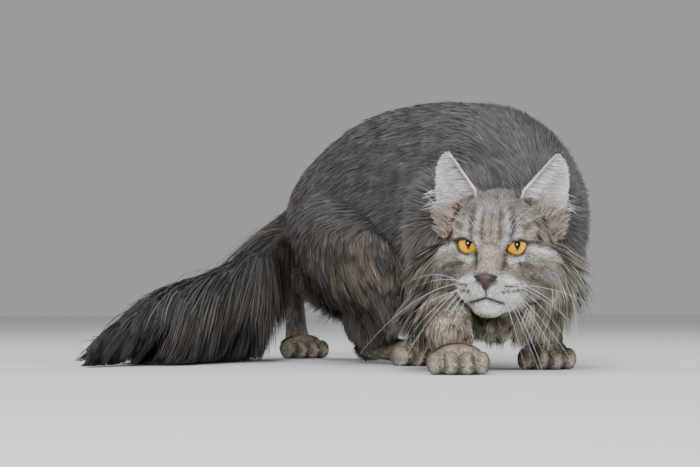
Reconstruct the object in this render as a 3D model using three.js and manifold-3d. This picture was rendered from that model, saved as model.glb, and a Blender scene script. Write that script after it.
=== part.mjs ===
// Long-haired blue tabby cat in a low stalking crouch: a still model at life size.
// Millimetres. The cat walks towards -Y, its left side is +X, +Z is up and the floor is z = 0.
// The flesh is made of tubes and of skins drawn over ellipsoids, the long coat of flat tapered locks.
import * as THREE from "three";
import { mergeVertices } from "three/addons/utils/BufferGeometryUtils.js";
import Module from "manifold-3d";

const wasm = await Module();
wasm.setup();

// Driving dimensions
const gap = 0.3; // kept between neighbouring solids
const eyeSpacing = 43; // between the centres of the eyeballs
const eyeRadius = 11.5;
const eyeLevel = 109; // floor to the eyes
const earHeight = 62; // from the scalp to the tip
const earWidth = 42;
const pawWidth = 56;
const pawHeight = 28;

const deg = THREE.MathUtils.degToRad;
const mix = THREE.MathUtils.lerp;
const vec = (x, y, z) => new THREE.Vector3(x, y, z);

// A repeatable random number from 0 to 1, so that every build grows the same coat.
function seeded(seed) {
  let state = seed;
  return () => {
    state = (state * 1664525 + 1013904223) % 4294967296;
    return state / 4294967296;
  };
}

// Pieces
// A piece is a function of grow: its closed geometry, swollen by that much on every side.

function bare(geometry) {
  geometry.deleteAttribute("normal");
  geometry.deleteAttribute("uv");
  return mergeVertices(geometry, 1e-4);
}

// Joins rings of equal length into a closed skin, with a pole beyond each end.
function skinOver(rings, startPole, endPole) {
  const sides = rings[0].length;
  const points = [...rings.flat(), startPole, endPole];
  const start = points.length - 2;
  const last = start - sides;
  const triangles = [];
  for (let i = 0; i < sides; i++) {
    const next = (i + 1) % sides;
    for (let here = 0; here < last; here += sides) {
      const beyond = here + sides;
      triangles.push([here + i, here + next, beyond + next]);
      triangles.push([here + i, beyond + next, beyond + i]);
    }
    triangles.push([start, next, i], [start + 1, last + i, last + next]);
  }
  const flat = new Float32Array(points.flatMap((p) => p.toArray()));
  return new THREE.BufferGeometry()
    .setAttribute("position", new THREE.BufferAttribute(flat, 3))
    .setIndex(triangles.flat());
}

function ball(centre, radii, segments = [12, 8]) {
  return (grow) =>
    new THREE.SphereGeometry(1, ...segments).scale(...radii.map((r) => r + grow)).translate(...centre);
}

function block(low, high) {
  const size = high.map((h, i) => h - low[i]);
  const centre = high.map((h, i) => (h + low[i]) / 2);
  return (grow) => new THREE.BoxGeometry(...size.map((s) => s + 2 * grow)).translate(...centre);
}

const moved = (piece, place) => (grow) => piece(grow).applyMatrix4(place);

// The place of a local frame: x to the cat's left, y back, z up, turned about z, then y, then x.
function placed([x, y, z], [turnX, turnY, turnZ]) {
  const turn = new THREE.Euler(deg(turnX), deg(turnY), deg(turnZ), "ZYX");
  return new THREE.Matrix4().makeRotationFromEuler(turn).setPosition(x, y, z);
}

// A tube through stations [x, y, z, across, up, down]: the middle of each ring and its reach to the
// sides, above and below. Both ends are rounded.
function tube(stations, { sides = 16, steps = 12, round = [0.7, 0.7], upright = vec(0, 0, 1) } = {}) {
  const smooth = (points) => new THREE.CatmullRomCurve3(points, false, "catmullrom", 0.5);
  const path = smooth(stations.map((s) => vec(s[0], s[1], s[2])));
  const reach = smooth(stations.map((s) => vec(s[3], s[4], s[5])));
  const pointOn = (t, angle, grow, scale = 1, shift = 0) => {
    const along = path.getTangent(t);
    const side = upright.clone().cross(along).normalize();
    const above = along.clone().cross(side);
    const size = reach.getPoint(t);
    const rise = Math.sin(angle) * ((Math.sin(angle) > 0 ? size.y : size.z) + grow);
    return path
      .getPoint(t)
      .addScaledVector(side, Math.cos(angle) * (size.x + grow) * scale)
      .addScaledVector(above, rise * scale)
      .addScaledVector(along, shift);
  };
  const ring = (t, grow, scale, shift) =>
    Array.from({ length: sides }, (_, i) => pointOn(t, (2 * Math.PI * i) / sides, grow, scale, shift));
  const capDepth = (t, grow) => {
    const size = reach.getPoint(t);
    return (round[t] * (size.x + size.y + size.z)) / 3 + grow;
  };
  const pole = (t, shift) => path.getPoint(t).addScaledVector(path.getTangent(t), shift);
  const piece = (grow) => {
    const bulge = [deg(35), deg(65)];
    const [startDepth, endDepth] = [capDepth(0, grow), capDepth(1, grow)];
    const rings = [
      ...bulge.map((b) => ring(0, grow, Math.sin(b), -startDepth * Math.cos(b))),
      ...Array.from({ length: steps + 1 }, (_, k) => ring(k / steps, grow, 1, 0)),
      ...bulge.toReversed().map((b) => ring(1, grow, Math.sin(b), endDepth * Math.cos(b))),
    ];
    return skinOver(rings, pole(0, -startDepth), pole(1, endDepth));
  };
  // A point on the tube, the way out of it and the way along it, for rooting locks.
  piece.at = (t, angle) => {
    const point = pointOn(t, angle, 0);
    return { point, out: point.clone().sub(path.getPoint(t)).normalize(), along: path.getTangent(t) };
  };
  return piece;
}

// A skin drawn over overlapping ellipsoids [centre, radii]: each point of a ball goes out along its
// own ray to their blended surface.
function drawnOver(middle, lumps, { softness = 3, around = 40, rows = 28, reach = 110 } = {}) {
  const bodies = lumps.map(([centre, radii]) => [vec(...centre), vec(...radii)]);
  const outside = (p, [centre, radii]) => {
    const unit = p.clone().sub(centre).divide(radii);
    const slope = unit.clone().divide(radii).length();
    return (unit.length() * (unit.length() - 1)) / Math.max(slope, 1e-6);
  };
  const field = (p) =>
    -softness * Math.log(bodies.reduce((sum, b) => sum + Math.exp(-outside(p, b) / softness), 0));
  const surface = (from, ray, start) => {
    const at = (s) => from.clone().addScaledVector(ray, s);
    let near = start;
    while (near > 0 && field(at(near)) > 0) near -= 2;
    let far = near + 2;
    for (let k = 0; k < 10; k++) {
      const half = (near + far) / 2;
      if (field(at(half)) > 0) far = half;
      else near = half;
    }
    return at(near);
  };
  const piece = (grow) => {
    const skin = bare(new THREE.SphereGeometry(1, around, rows));
    const place = skin.getAttribute("position");
    for (let i = 0; i < place.count; i++) {
      const ray = vec(0, 0, 0).fromBufferAttribute(place, i).normalize();
      const point = surface(vec(...middle), ray, reach).addScaledVector(ray, grow);
      place.setXYZ(i, ...point.toArray());
    }
    return skin;
  };
  // A point on the skin, for rooting locks: turn goes round from the front to the left, tilt up.
  piece.at = (turn, tilt) => {
    const flat = Math.cos(deg(tilt));
    const out = vec(Math.sin(deg(turn)) * flat, -Math.cos(deg(turn)) * flat, Math.sin(deg(tilt)));
    return { point: surface(vec(...middle), out, reach), out };
  };
  // The foremost point of the skin at a place across and up.
  piece.front = (x, z) => surface(vec(x, 0, z), vec(0, -1, 0), reach);
  return piece;
}

const pair = ([x, y, z], radii) => [
  [[x, y, z], radii],
  [[-x, y, z], radii],
];

// A flat tapered lock, four-sided, with its root sunk in the flesh. It runs along lie, which bend
// turns as it goes, and ends in a point above the floor.
function lock({ point, out }, { lie, bend = vec(0, 0, 0), length, width, sink = 5 }) {
  const course = lie.clone().normalize();
  const fall = -(course.z + bend.z);
  const long = fall > 0 ? Math.min(length, (point.z - 2) / fall) : length;
  const at = (t) =>
    point.clone().addScaledVector(course, long * t).addScaledVector(bend, long * t * t);
  const halfThick = width * 0.16;
  const profile = [
    [0.2, 0.95],
    [0.5, 1],
    [0.8, 0.7],
  ];
  return (grow) => {
    const section = (centre, along, scale) => {
      const flat = out.clone().addScaledVector(along, -out.dot(along)).normalize();
      const wide = flat.clone().cross(along);
      const [a, b] = [(width / 2) * scale + 4 * grow, halfThick * scale + 1.3 * grow];
      return [
        centre.clone().addScaledVector(wide, a),
        centre.clone().addScaledVector(flat, b),
        centre.clone().addScaledVector(wide, -a),
        centre.clone().addScaledVector(flat, -b),
      ];
    };
    const heading = (t) => at(t + 0.05).sub(at(t - 0.05)).normalize();
    const root = at(0).addScaledVector(out, -sink);
    const rings = profile.map(([t, scale]) => section(at(t), heading(t), scale));
    const base = root.clone().addScaledVector(heading(0), -2 - grow);
    const end = at(1).addScaledVector(heading(1), 8 * grow);
    return skinOver([section(root, heading(0), 0.7), ...rings], base, end);
  };
}

// Solids

function solidOf(piece, grow) {
  const geometry = bare(piece(grow));
  const mesh = new wasm.Mesh({
    numProp: 3,
    vertProperties: new Float32Array(geometry.getAttribute("position").array),
    triVerts: new Uint32Array(geometry.getIndex().array),
  });
  return new wasm.Manifold(mesh);
}

// A form is a list of pieces that make one body, kept inside its bounds.
const form = (pieces, bounds = []) => ({ pieces, bounds });

function swollen({ pieces, bounds }, grow) {
  const whole = pieces.map((piece) => solidOf(piece, grow)).reduce((a, b) => a.add(b));
  return bounds.reduce((solid, bound) => solid.intersect(solidOf(bound, grow)), whole);
}

// A core cut by its grooves and kept clear of the forms before it, so that they meet face to face,
// with its locks fused on where they pass clear of their neighbours.
function built(core, { grooves = [], clearOf = [], locks = [], locksClearOf = [] } = {}) {
  let solid = swollen(core, 0);
  for (const piece of grooves) solid = solid.subtract(solidOf(piece, 0));
  for (const other of clearOf) solid = solid.subtract(swollen(other, gap));
  if (locks.length > 0) {
    let coat = swollen(form(locks), 0);
    for (const other of [...clearOf, ...locksClearOf]) coat = coat.subtract(swollen(other, gap));
    solid = solid.add(coat);
  }
  const bodies = solid.subtract(solidOf(underfloor, 0)).decompose();
  return bodies.reduce((a, b) => (b.volume() > a.volume() ? b : a));
}

const underfloor = block([-900, -900, -200], [900, 900, 0]);

// Head
// Its local origin is midway between the eyes.

const headPlace = placed([-95, -235.5, eyeLevel], [4, 2, -44]);
const onHead = (piece) => moved(piece, headPlace);
const eyeHalf = eyeSpacing / 2;

const skull = drawnOver(
  [0, 16, -8],
  [
    [[0, 37, 8], [40, 46, 39]], // cranium
    [[0, 12, 16], [30, 26, 20]], // forehead
    ...pair([19, 2, 14], [15, 11, 9]), // brows
    ...pair([22, 1, -14], [16, 12, 10]), // under the eyes
    ...pair([34, 22, -20], [24, 30, 27]), // cheeks
    [[0, -4, 2], [12, 14, 14]], // root of the nose
    [[0, -16, -10], [11, 16, 12]], // bridge
    [[0, -28, -20], [9.5, 13, 9]],
    [[0, -12, -34], [27, 24, 18]], // muzzle
    ...pair([13, -23, -36], [15, 14, 12]), // whisker pads
    [[0, -20, -52], [14, 13, 10]], // chin
    [[0, 8, -42], [31, 32, 19]], // jaw
  ],
  { around: 28, rows: 19 },
);

// Two arcs that meet in the corners of the eye, seen from the front.
function almond(width, height) {
  const outline = new THREE.Shape();
  outline.moveTo(-width / 2, 0);
  outline.bezierCurveTo(-width / 3, height * 0.72, width / 3, height * 0.72, width / 2, 0);
  outline.bezierCurveTo(width / 3, -height * 0.62, -width / 3, -height * 0.62, -width / 2, 0);
  return new THREE.ExtrudeGeometry(outline, { depth: 30, bevelEnabled: false, curveSegments: 4 });
}

const eyeball = (side) =>
  onHead(ball([side * eyeHalf, 0, 0], [eyeRadius, eyeRadius, eyeRadius], [12, 8]));
const lids = (side) => ball([side * eyeHalf, 0.4, 0], [13.4, 13, 12.6], [12, 7]);
const opening = (side) => () =>
  almond(17.5, 13.6)
    .rotateX(deg(90))
    .rotateY(deg(side * -12))
    .translate(side * eyeHalf, -3, 0);

const noseLeather = [
  ball([0, -39.5, -24], [10, 4.6, 3.2], [9, 5]),
  ball([5, -39, -27], [4.4, 4.6, 3.8], [7, 5]),
  ball([-5, -39, -27], [4.4, 4.6, 3.8], [7, 5]),
  ball([0, -39.8, -30], [4, 4.8, 5], [7, 5]),
].map(onHead);
const nostril = (side) => onHead(ball([side * 5.2, -43.6, -27], [2.3, 3.2, 1.4], [5, 4]));

// The mouth runs back from the middle of the upper lip along the pads.
const mouthHalf = 17;
function mouthLine(side, inset, radius) {
  const turns = [0, 0.25, 0.5, 0.75, 1].map((t) => {
    const droop = -41 - 3.5 * Math.sin(Math.PI * 0.62 * t);
    const point = skull.front(side * mouthHalf * t, droop);
    return [point.x, point.y + inset, point.z, radius, radius, radius];
  });
  return tube(turns, { sides: 4, steps: 4 });
}
const philtrum = tube(
  [-33.5, -37, -41].map((z) => {
    const point = skull.front(0, z);
    return [0, point.y + 0.3, z, 0.9, 0.9, 0.9];
  }),
  { sides: 4, steps: 2, upright: vec(1, 0, 0) },
);

// Ears

const onEar = (piece, side) =>
  onHead(moved(piece, placed([side * 36, 34, 22], [-6, side * 16, side * 20])));

const earRoot = 16; // how far the cup goes down into the scalp
// Half the cup's width at height v: straight above the inner base, u < 0, and rounded to the outer.
const cupHalf = (v, u) => {
  const outer = 0.95 * Math.pow(1 - Math.pow(v, 3.2), 0.6);
  const inner = Math.pow(Math.min(1, 1.95 * (1 - v)), 0.95);
  return (earWidth / 2) * (u > 0 ? outer : inner) + 0.8;
};
const cupDepth = (v, u) => (17 * Math.pow(1 - v, 0.8) + 0.8) * (1 - u * u);

// A cup of skin: each ring goes up the back from the inner edge to the outer and returns inside.
// The lowest ring is filled, which closes the cup in the scalp.
function earCup(side) {
  const span = 6;
  const ring = (v, grow) => {
    const wall = mix(3.2, 1.9, v) / 2;
    const at = (u, offset) =>
      vec(
        side * u * (cupHalf(v, u) + (offset > 0 ? grow : -wall)),
        (v > 0 || offset > 0 ? cupDepth(v, u) : 0) + offset,
        mix(-earRoot, earHeight, v) + (2 * v - 1) * grow,
      );
    const across = Array.from({ length: span }, (_, i) => (2 * i) / (span - 1) - 1);
    const back = across.map((u) => at(u, wall + grow));
    const inside = across.map((u) => at(-u, -wall - grow));
    const points = [...back, ...inside];
    return side > 0 ? points.toReversed() : points;
  };
  const heights = [0, 0.25, 0.45, 0.62, 0.77, 0.89, 0.97];
  const cup = (grow) => {
    const rings = heights.map((v) => ring(v, grow));
    return skinOver(rings, vec(0, 8, -earRoot - 0.5 - 2 * grow), vec(0, 0.6, earHeight + grow));
  };
  return onEar(cup, side);
}

// Trunk

const torso = tube(
  [
    [0, 226, 149, 30, 32, 30],
    [0, 205, 149, 50, 52, 50],
    [0, 165, 152, 65, 74, 63],
    [0, 115, 156, 73, 90, 74],
    [0, 60, 160, 78, 100, 83],
    [0, 0, 160, 81, 103, 88],
    [0, -60, 157, 82, 102, 93],
    [-2, -110, 148, 80, 102, 95],
    [-8, -150, 138, 75, 90, 90],
    [-20, -180, 128, 62, 70, 79],
    [-30, -196, 120, 48, 52, 60],
  ],
  { sides: 22, steps: 14, round: [0.25, 0.35] },
);

const neck = tube(
  [
    [-16, -130, 158, 60, 56, 66],
    [-34, -156, 144, 60, 54, 68],
    [-50, -176, 130, 56, 48, 68],
    [-60, -190, 118, 50, 40, 62],
  ],
  { sides: 14, steps: 4, round: [0.3, 0.25] },
);
const ruffPlace = placed([-74, -210, 0], [0, 0, -38]);
const ruff = drawnOver(
  [0, 0, 82],
  [
    [[0, 0, 70], [38, 20, 40]], // bib
    [[2, 12, 92], [63, 20, 36]], // collar
  ],
  { around: 14, rows: 9, softness: 5 },
);
// The neck ends in a slanted plane across the shoulders.
const fore = moved(block([-300, -400, -300], [300, 0, 300]), placed([-30, -158, 130], [14, 0, -34]));

// Legs

const legTube = (stations, options) =>
  tube(stations, { upright: vec(1, 0, 0), sides: 10, steps: 5, ...options });

// A paw with four toes, standing flat. Its local origin is on the floor under the middle.
function paw([x, y], yaw, length) {
  const place = placed([x, y, 0], [0, 0, yaw]);
  const half = pawWidth / 2;
  const toes = [-0.68, -0.24, 0.24, 0.68].map((u) =>
    ball([u * half, -length * (0.36 - 0.34 * u * u), 9.5], [8.6, 15, 11.5], [7, 5]),
  );
  const palm = ball([0, 0, 10], [half - 2, length / 2 - 4, pawHeight - 10], [12, 6]);
  return [palm, ...toes].map((piece) => moved(piece, place));
}

const forepaws = { right: paw([-151, -262], -32, 56), left: paw([-6, -192], -26, 54) };
const hindfeet = {
  right: [
    ...paw([-44, -36], -8, 54),
    tube(
      [
        [-38, 60, 18, 15, 13, 16],
        [-38, 36, 17, 16, 12, 16],
        [-40, 4, 16, 18, 12, 15],
        [-43, -28, 15, 21, 12, 14],
      ],
      { sides: 10, steps: 5 },
    ),
  ],
  left: [
    ...paw([0, 250], -14, 50),
    legTube([
      [2, 262, 18, 15, 16, 16],
      [6, 274, 46, 14, 14, 14],
      [10, 284, 80, 16, 14, 14],
    ]),
  ],
};

const forelegs = {
  right: [
    legTube([
      [-62, -122, 150, 46, 26, 40],
      [-78, -138, 112, 42, 26, 36],
      [-92, -158, 76, 36, 26, 30],
    ]),
    legTube([
      [-88, -152, 74, 32, 24, 30],
      [-116, -196, 54, 26, 24, 26],
      [-142, -238, 30, 22, 24, 24],
    ]),
  ],
  left: [
    legTube([
      [58, -118, 150, 46, 24, 30],
      [54, -122, 110, 42, 24, 28],
      [44, -132, 84, 34, 24, 24],
    ]),
    legTube([
      [44, -128, 88, 32, 24, 24],
      [22, -160, 74, 26, 22, 24],
      [4, -182, 44, 22, 20, 20],
      [-2, -186, 24, 20, 20, 20],
    ]),
  ],
};

const thighs = {
  right: legTube(
    [
      [-32, 130, 134, 64, 40, 46],
      [-44, 80, 120, 68, 44, 52],
      [-56, 28, 102, 58, 40, 46],
      [-64, -12, 88, 42, 30, 38],
    ],
    { sides: 16, steps: 7 },
  ),
  left: legTube(
    [
      [34, 112, 158, 60, 46, 40],
      [44, 122, 122, 54, 40, 36],
      [50, 136, 84, 40, 28, 28],
    ],
    { sides: 14 },
  ),
};
const shins = {
  right: legTube([
    [-62, -14, 72, 38, 26, 32],
    [-54, 24, 54, 38, 24, 28],
    [-42, 64, 46, 30, 18, 22],
  ]),
  left: legTube([
    [48, 144, 74, 34, 24, 24],
    [36, 196, 76, 28, 18, 20],
    [18, 256, 82, 18, 14, 14],
    [10, 280, 84, 15, 13, 13],
  ]),
};

const beside = (side, middle) =>
  side > 0
    ? block([middle, -500, -300], [500, 500, 500])
    : block([-500, -500, -300], [-middle, 500, 500]);

// Tail
// It leaves the rump, swings back and to the right, and its hair hangs to the floor.

const tailCore = (stations) => tube(stations, { sides: 8, steps: 5, round: [0.5, 1.4] });
const tailBase = tailCore([
  [-8, 222, 160, 20, 20, 26],
  [-34, 222, 142, 18, 14, 34],
  [-66, 208, 116, 18, 13, 40],
  [-104, 184, 98, 17, 13, 38],
]);
const tailMiddle = tailCore([
  [-104, 184, 98, 17, 13, 38],
  [-150, 158, 84, 17, 12, 36],
  [-204, 128, 70, 16, 12, 32],
]);
const tailTip = tailCore([
  [-204, 128, 70, 16, 12, 32],
  [-250, 105, 56, 14, 11, 26],
  [-288, 90, 41, 11, 9, 20],
  [-312, 82, 30, 7, 7, 13],
]);

// Coat
// The locks are seeded, so each fringe keeps its own random draw.

// A row of locks along a tube, from one share of its length to another, at an angle round it.
function fringe(core, seed, { count, from, to, angle, lie, bend, length, width }) {
  const random = seeded(seed);
  return Array.from({ length: count }, (_, i) => {
    const share = mix(from, to, (i + 0.3 + 0.4 * random()) / count);
    const root = core.at(share, deg(angle + 8 * random() - 4));
    const stray = () => 0.16 * (random() - 0.5);
    const course = vec(...lie).add(vec(stray(), stray(), stray()));
    const usual = mix(length[0], length[1], i / Math.max(count - 1, 1));
    return lock(root, {
      lie: course,
      bend: vec(...bend),
      length: usual * (0.9 + 0.2 * random()),
      width: width * (0.9 + 0.2 * random()),
    });
  });
}

// Tail hair hangs straight down from both sides of the bone, and its ends sweep towards the tip.
function plume(core, seed, count, length) {
  const row = { count, from: 0, to: 1, length, width: 25 };
  return [
    ...fringe(core, seed, { ...row, angle: -6, lie: [0.1, 0.16, -1], bend: [-0.22, -0.08, -0.1] }),
    ...fringe(core, seed + 1, {
      ...row,
      angle: 186,
      lie: [-0.14, -0.18, -1],
      bend: [-0.22, -0.06, -0.1],
    }),
  ];
}

// The ruff: rows of locks on the bib and the sides of the collar, in the ruff's own frame.
function ruffLocks(seed) {
  const random = seeded(seed);
  const rows = [
    { tilt: 6, turns: [-62, 62], count: 6, length: 54, width: 23, spread: 0.3, out: 0.3 },
    { tilt: -24, turns: [-56, 56], count: 5, length: 46, width: 20, spread: 0.26, out: 0.22 },
    { tilt: -50, turns: [-58, 58], count: 3, length: 36, width: 19, spread: 0.2, out: 0.14 },
    { tilt: 26, turns: [74, 112], count: 3, length: 46, width: 24, spread: 0.62, out: 0.02 },
    { tilt: 26, turns: [-74, -112], count: 3, length: 38, width: 23, spread: 0.6, out: 0.05 },
    { tilt: -4, turns: [74, 108], count: 3, length: 42, width: 23, spread: 0.5, out: 0.02 },
    { tilt: -4, turns: [-74, -108], count: 2, length: 38, width: 22, spread: 0.5, out: 0.05 },
  ];
  return rows.flatMap(({ tilt, turns, count, length, width, spread, out }) =>
    Array.from({ length: count }, (_, i) => {
      const turn = mix(turns[0], turns[1], (i + 0.2 + 0.6 * random()) / count);
      const root = ruff.at(turn, tilt + 10 * random() - 5);
      root.out.add(vec(0, -0.7, 0)).normalize();
      const lie = vec(Math.sin(deg(turn)) * spread, -out, -0.9);
      const bend = vec(Math.sin(deg(turn)) * 0.1, 0.06, -0.12);
      return lock(root, { lie, bend, length: length * (0.85 + 0.3 * random()), width });
    }),
  );
}

// Long hairs in the ear run across its mouth from the inner edge.
function earTufts(side, seed) {
  const random = seeded(seed);
  return [0.32, 0.46].map((v) => {
    const inner = side * -0.6 * cupHalf(v, -1);
    const point = vec(inner, cupDepth(v, 0.6), mix(-earRoot, earHeight, v));
    return lock(
      { point, out: vec(0, -1, 0) },
      {
        lie: vec(side * 0.9, -0.5, 0.3),
        bend: vec(side * 0.1, 0.1, 0),
        length: 20 + 5 * random(),
        width: 8,
        sink: 0,
      },
    );
  });
}

// Nodes

const eyes = { left: form([eyeball(1)]), right: form([eyeball(-1)]) };
const nose = form(noseLeather);
const lips = [mouthLine(1, 0.6, 1.7), mouthLine(-1, 0.6, 1.7)];
const head = form([skull, lids(1), lids(-1), ...lips].map(onHead));
const scalp = form([onHead(skull)]);
const ears = { left: form([earCup(1)]), right: form([earCup(-1)]) };
const face = [scalp, ears.left, ears.right];
const trunk = form([torso]);
const collar = form([neck, torso, moved(ruff, ruffPlace)], [fore]);
const forepaw = { left: form(forepaws.left), right: form(forepaws.right) };
const hindfoot = { left: form(hindfeet.left), right: form(hindfeet.right) };
const foreleg = { left: form(forelegs.left), right: form(forelegs.right) };
const thigh = {
  left: form([thighs.left], [beside(1, 4)]),
  right: form([thighs.right], [beside(-1, 4)]),
};
const shin = { left: form([shins.left], [beside(1, 2)]), right: form([shins.right]) };
const tail = { base: form([tailBase]), middle: form([tailMiddle]), tip: form([tailTip]) };
const feet = [forepaw.left, forepaw.right, hindfoot.left, hindfoot.right];
const body = [trunk, collar, scalp];

const coat = {
  base: plume(tailBase, 11, 6, [128, 108]),
  middle: plume(tailMiddle, 21, 6, [104, 90]),
  tip: [
    ...plume(tailTip, 31, 6, [84, 44]),
    ...fringe(tailTip, 33, {
      count: 3,
      from: 0.8,
      to: 1,
      angle: 90,
      lie: [-0.9, -0.25, -0.45],
      bend: [0, 0, -0.2],
      length: [40, 34],
      width: 14,
    }),
  ],
  earLeft: earTufts(1, 71).map((piece) => onEar(piece, 1)),
  earRight: earTufts(-1, 72).map((piece) => onEar(piece, -1)),
  ruff: ruffLocks(41).map((piece) => moved(piece, ruffPlace)),
  belly: [-128, -52].flatMap((angle, i) =>
    fringe(torso, 51 + i, {
      count: 5,
      from: 0.34,
      to: 0.72,
      angle,
      lie: [0, 0.3, -0.95],
      bend: [0, 0.12, 0],
      length: [36, 32],
      width: 22,
    }),
  ),
  breechRight: fringe(thighs.right, 61, {
    count: 5,
    from: 0,
    to: 0.62,
    angle: -24,
    lie: [0.05, 0.3, -0.9],
    bend: [0.06, 0.1, 0],
    length: [44, 36],
    width: 20,
  }),
  breechLeft: fringe(thighs.left, 63, {
    count: 4,
    from: 0,
    to: 0.8,
    angle: 20,
    lie: [0, 0.4, -0.85],
    bend: [0, 0.1, 0],
    length: [42, 34],
    width: 20,
  }),
};

const nodes = {
  eye_left: built(eyes.left),
  eye_right: built(eyes.right),
  nose: built(nose, { grooves: [nostril(1), nostril(-1)] }),
  head: built(head, {
    grooves: [
      opening(1),
      opening(-1),
      mouthLine(1, -0.4, 0.8),
      mouthLine(-1, -0.4, 0.8),
      philtrum,
    ].map(onHead),
    clearOf: [eyes.left, eyes.right, nose],
  }),
  ear_left: built(ears.left, { clearOf: [scalp], locks: coat.earLeft }),
  ear_right: built(ears.right, { clearOf: [scalp], locks: coat.earRight }),
  torso: built(trunk, {
    clearOf: [form([fore])],
    locks: coat.belly,
    locksClearOf: [...feet, foreleg.left, foreleg.right, thigh.left, thigh.right, shin.right],
  }),
  neck: built(collar, {
    clearOf: [...face, form(coat.earLeft), form(coat.earRight)],
    locks: coat.ruff,
    locksClearOf: [nose, ...feet, foreleg.left, foreleg.right],
  }),
  forepaw_left: built(forepaw.left),
  forepaw_right: built(forepaw.right),
  foreleg_left: built(foreleg.left, { clearOf: [forepaw.left, ...body] }),
  foreleg_right: built(foreleg.right, { clearOf: [forepaw.right, ...body, ears.right] }),
  hindfoot_left: built(hindfoot.left),
  hindfoot_right: built(hindfoot.right, { clearOf: [forepaw.right] }),
  thigh_left: built(thigh.left, {
    clearOf: [trunk],
    locks: coat.breechLeft,
    locksClearOf: [shin.left, hindfoot.left],
  }),
  thigh_right: built(thigh.right, {
    clearOf: [trunk],
    locks: coat.breechRight,
    locksClearOf: [shin.right, hindfoot.right],
  }),
  shin_left: built(shin.left, { clearOf: [trunk, thigh.left, hindfoot.left] }),
  shin_right: built(shin.right, { clearOf: [trunk, thigh.right, hindfoot.right, foreleg.right] }),
  tail_base: built(tail.base, {
    clearOf: [trunk, thigh.left, thigh.right],
    locks: coat.base,
    locksClearOf: [hindfoot.left, shin.left, form(coat.breechRight), tail.middle],
  }),
  tail_middle: built(tail.middle, {
    clearOf: [tail.base],
    locks: coat.middle,
    locksClearOf: [form(coat.base), tail.tip],
  }),
  tail_tip: built(tail.tip, {
    clearOf: [tail.middle],
    locks: coat.tip,
    locksClearOf: [form(coat.middle)],
  }),
};

const skins = {
  eye: new THREE.MeshStandardMaterial({ color: 0xb0762c, roughness: 0.08 }),
  nose: new THREE.MeshStandardMaterial({ color: 0x6f4a48, roughness: 0.5 }),
  head: new THREE.MeshStandardMaterial({ color: 0x8a8179, roughness: 0.95 }),
  ear: new THREE.MeshStandardMaterial({ color: 0x9b8d88, roughness: 0.9 }),
  neck: new THREE.MeshStandardMaterial({ color: 0x8d8884, roughness: 0.95 }),
  torso: new THREE.MeshStandardMaterial({ color: 0x67635f, roughness: 0.95 }),
  foreleg: new THREE.MeshStandardMaterial({ color: 0x7c7166, roughness: 0.95 }),
  thigh: new THREE.MeshStandardMaterial({ color: 0x6e655e, roughness: 0.95 }),
  shin: new THREE.MeshStandardMaterial({ color: 0x6e655e, roughness: 0.95 }),
  forepaw: new THREE.MeshStandardMaterial({ color: 0x97836f, roughness: 0.95 }),
  hindfoot: new THREE.MeshStandardMaterial({ color: 0x8d7a68, roughness: 0.95 }),
  tail: new THREE.MeshStandardMaterial({ color: 0x524d4b, roughness: 0.95 }),
};

// The finished part stands centred over the origin.
const group = new THREE.Group();
group.name = "cat";
for (const [name, solid] of Object.entries(nodes)) {
  const { vertProperties, triVerts } = solid.getMesh();
  const geometry = new THREE.BufferGeometry()
    .setAttribute("position", new THREE.BufferAttribute(vertProperties, 3))
    .setIndex(new THREE.BufferAttribute(triVerts, 1));
  geometry.computeVertexNormals();
  const mesh = new THREE.Mesh(geometry, skins[name.split("_")[0]]);
  mesh.name = name;
  group.add(mesh);
}
const bounds = new THREE.Box3().setFromObject(group, true);
const middle = bounds.getCenter(vec(0, 0, 0));
for (const mesh of group.children) mesh.geometry.translate(-middle.x, -middle.y, -bounds.min.z);

export default group;
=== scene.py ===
import math
import bpy
import numpy as np
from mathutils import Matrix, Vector, kdtree


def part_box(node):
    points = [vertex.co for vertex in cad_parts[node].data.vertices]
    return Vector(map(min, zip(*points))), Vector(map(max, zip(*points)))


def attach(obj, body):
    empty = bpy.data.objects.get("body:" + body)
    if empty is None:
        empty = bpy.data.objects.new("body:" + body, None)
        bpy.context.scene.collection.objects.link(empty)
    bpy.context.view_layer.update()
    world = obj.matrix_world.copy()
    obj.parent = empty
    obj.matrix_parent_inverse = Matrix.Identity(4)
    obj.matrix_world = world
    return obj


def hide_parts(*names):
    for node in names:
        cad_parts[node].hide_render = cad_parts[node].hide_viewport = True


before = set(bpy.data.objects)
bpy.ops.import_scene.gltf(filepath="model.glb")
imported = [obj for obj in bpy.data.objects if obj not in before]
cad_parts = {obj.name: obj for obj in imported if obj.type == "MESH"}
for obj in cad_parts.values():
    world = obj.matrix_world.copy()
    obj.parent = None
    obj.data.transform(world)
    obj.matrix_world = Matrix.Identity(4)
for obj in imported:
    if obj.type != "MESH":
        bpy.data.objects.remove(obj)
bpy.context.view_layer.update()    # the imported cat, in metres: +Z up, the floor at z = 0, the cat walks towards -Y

mm = 0.001


def nothingSelected():
    if bpy.context.object and bpy.context.object.mode != "OBJECT":
        bpy.ops.object.mode_set(mode="OBJECT")
    bpy.ops.object.select_all(action="DESELECT")


nothingSelected()


def turned(degrees):
    # turns about z, then y, then x, as one matrix
    ax, ay, az = [math.radians(a) for a in degrees]
    rx = np.array([[1, 0, 0], [0, math.cos(ax), -math.sin(ax)], [0, math.sin(ax), math.cos(ax)]])
    ry = np.array([[math.cos(ay), 0, math.sin(ay)], [0, 1, 0], [-math.sin(ay), 0, math.cos(ay)]])
    rz = np.array([[math.cos(az), -math.sin(az), 0], [math.sin(az), math.cos(az), 0], [0, 0, 1]])
    return rz @ ry @ rx


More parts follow.
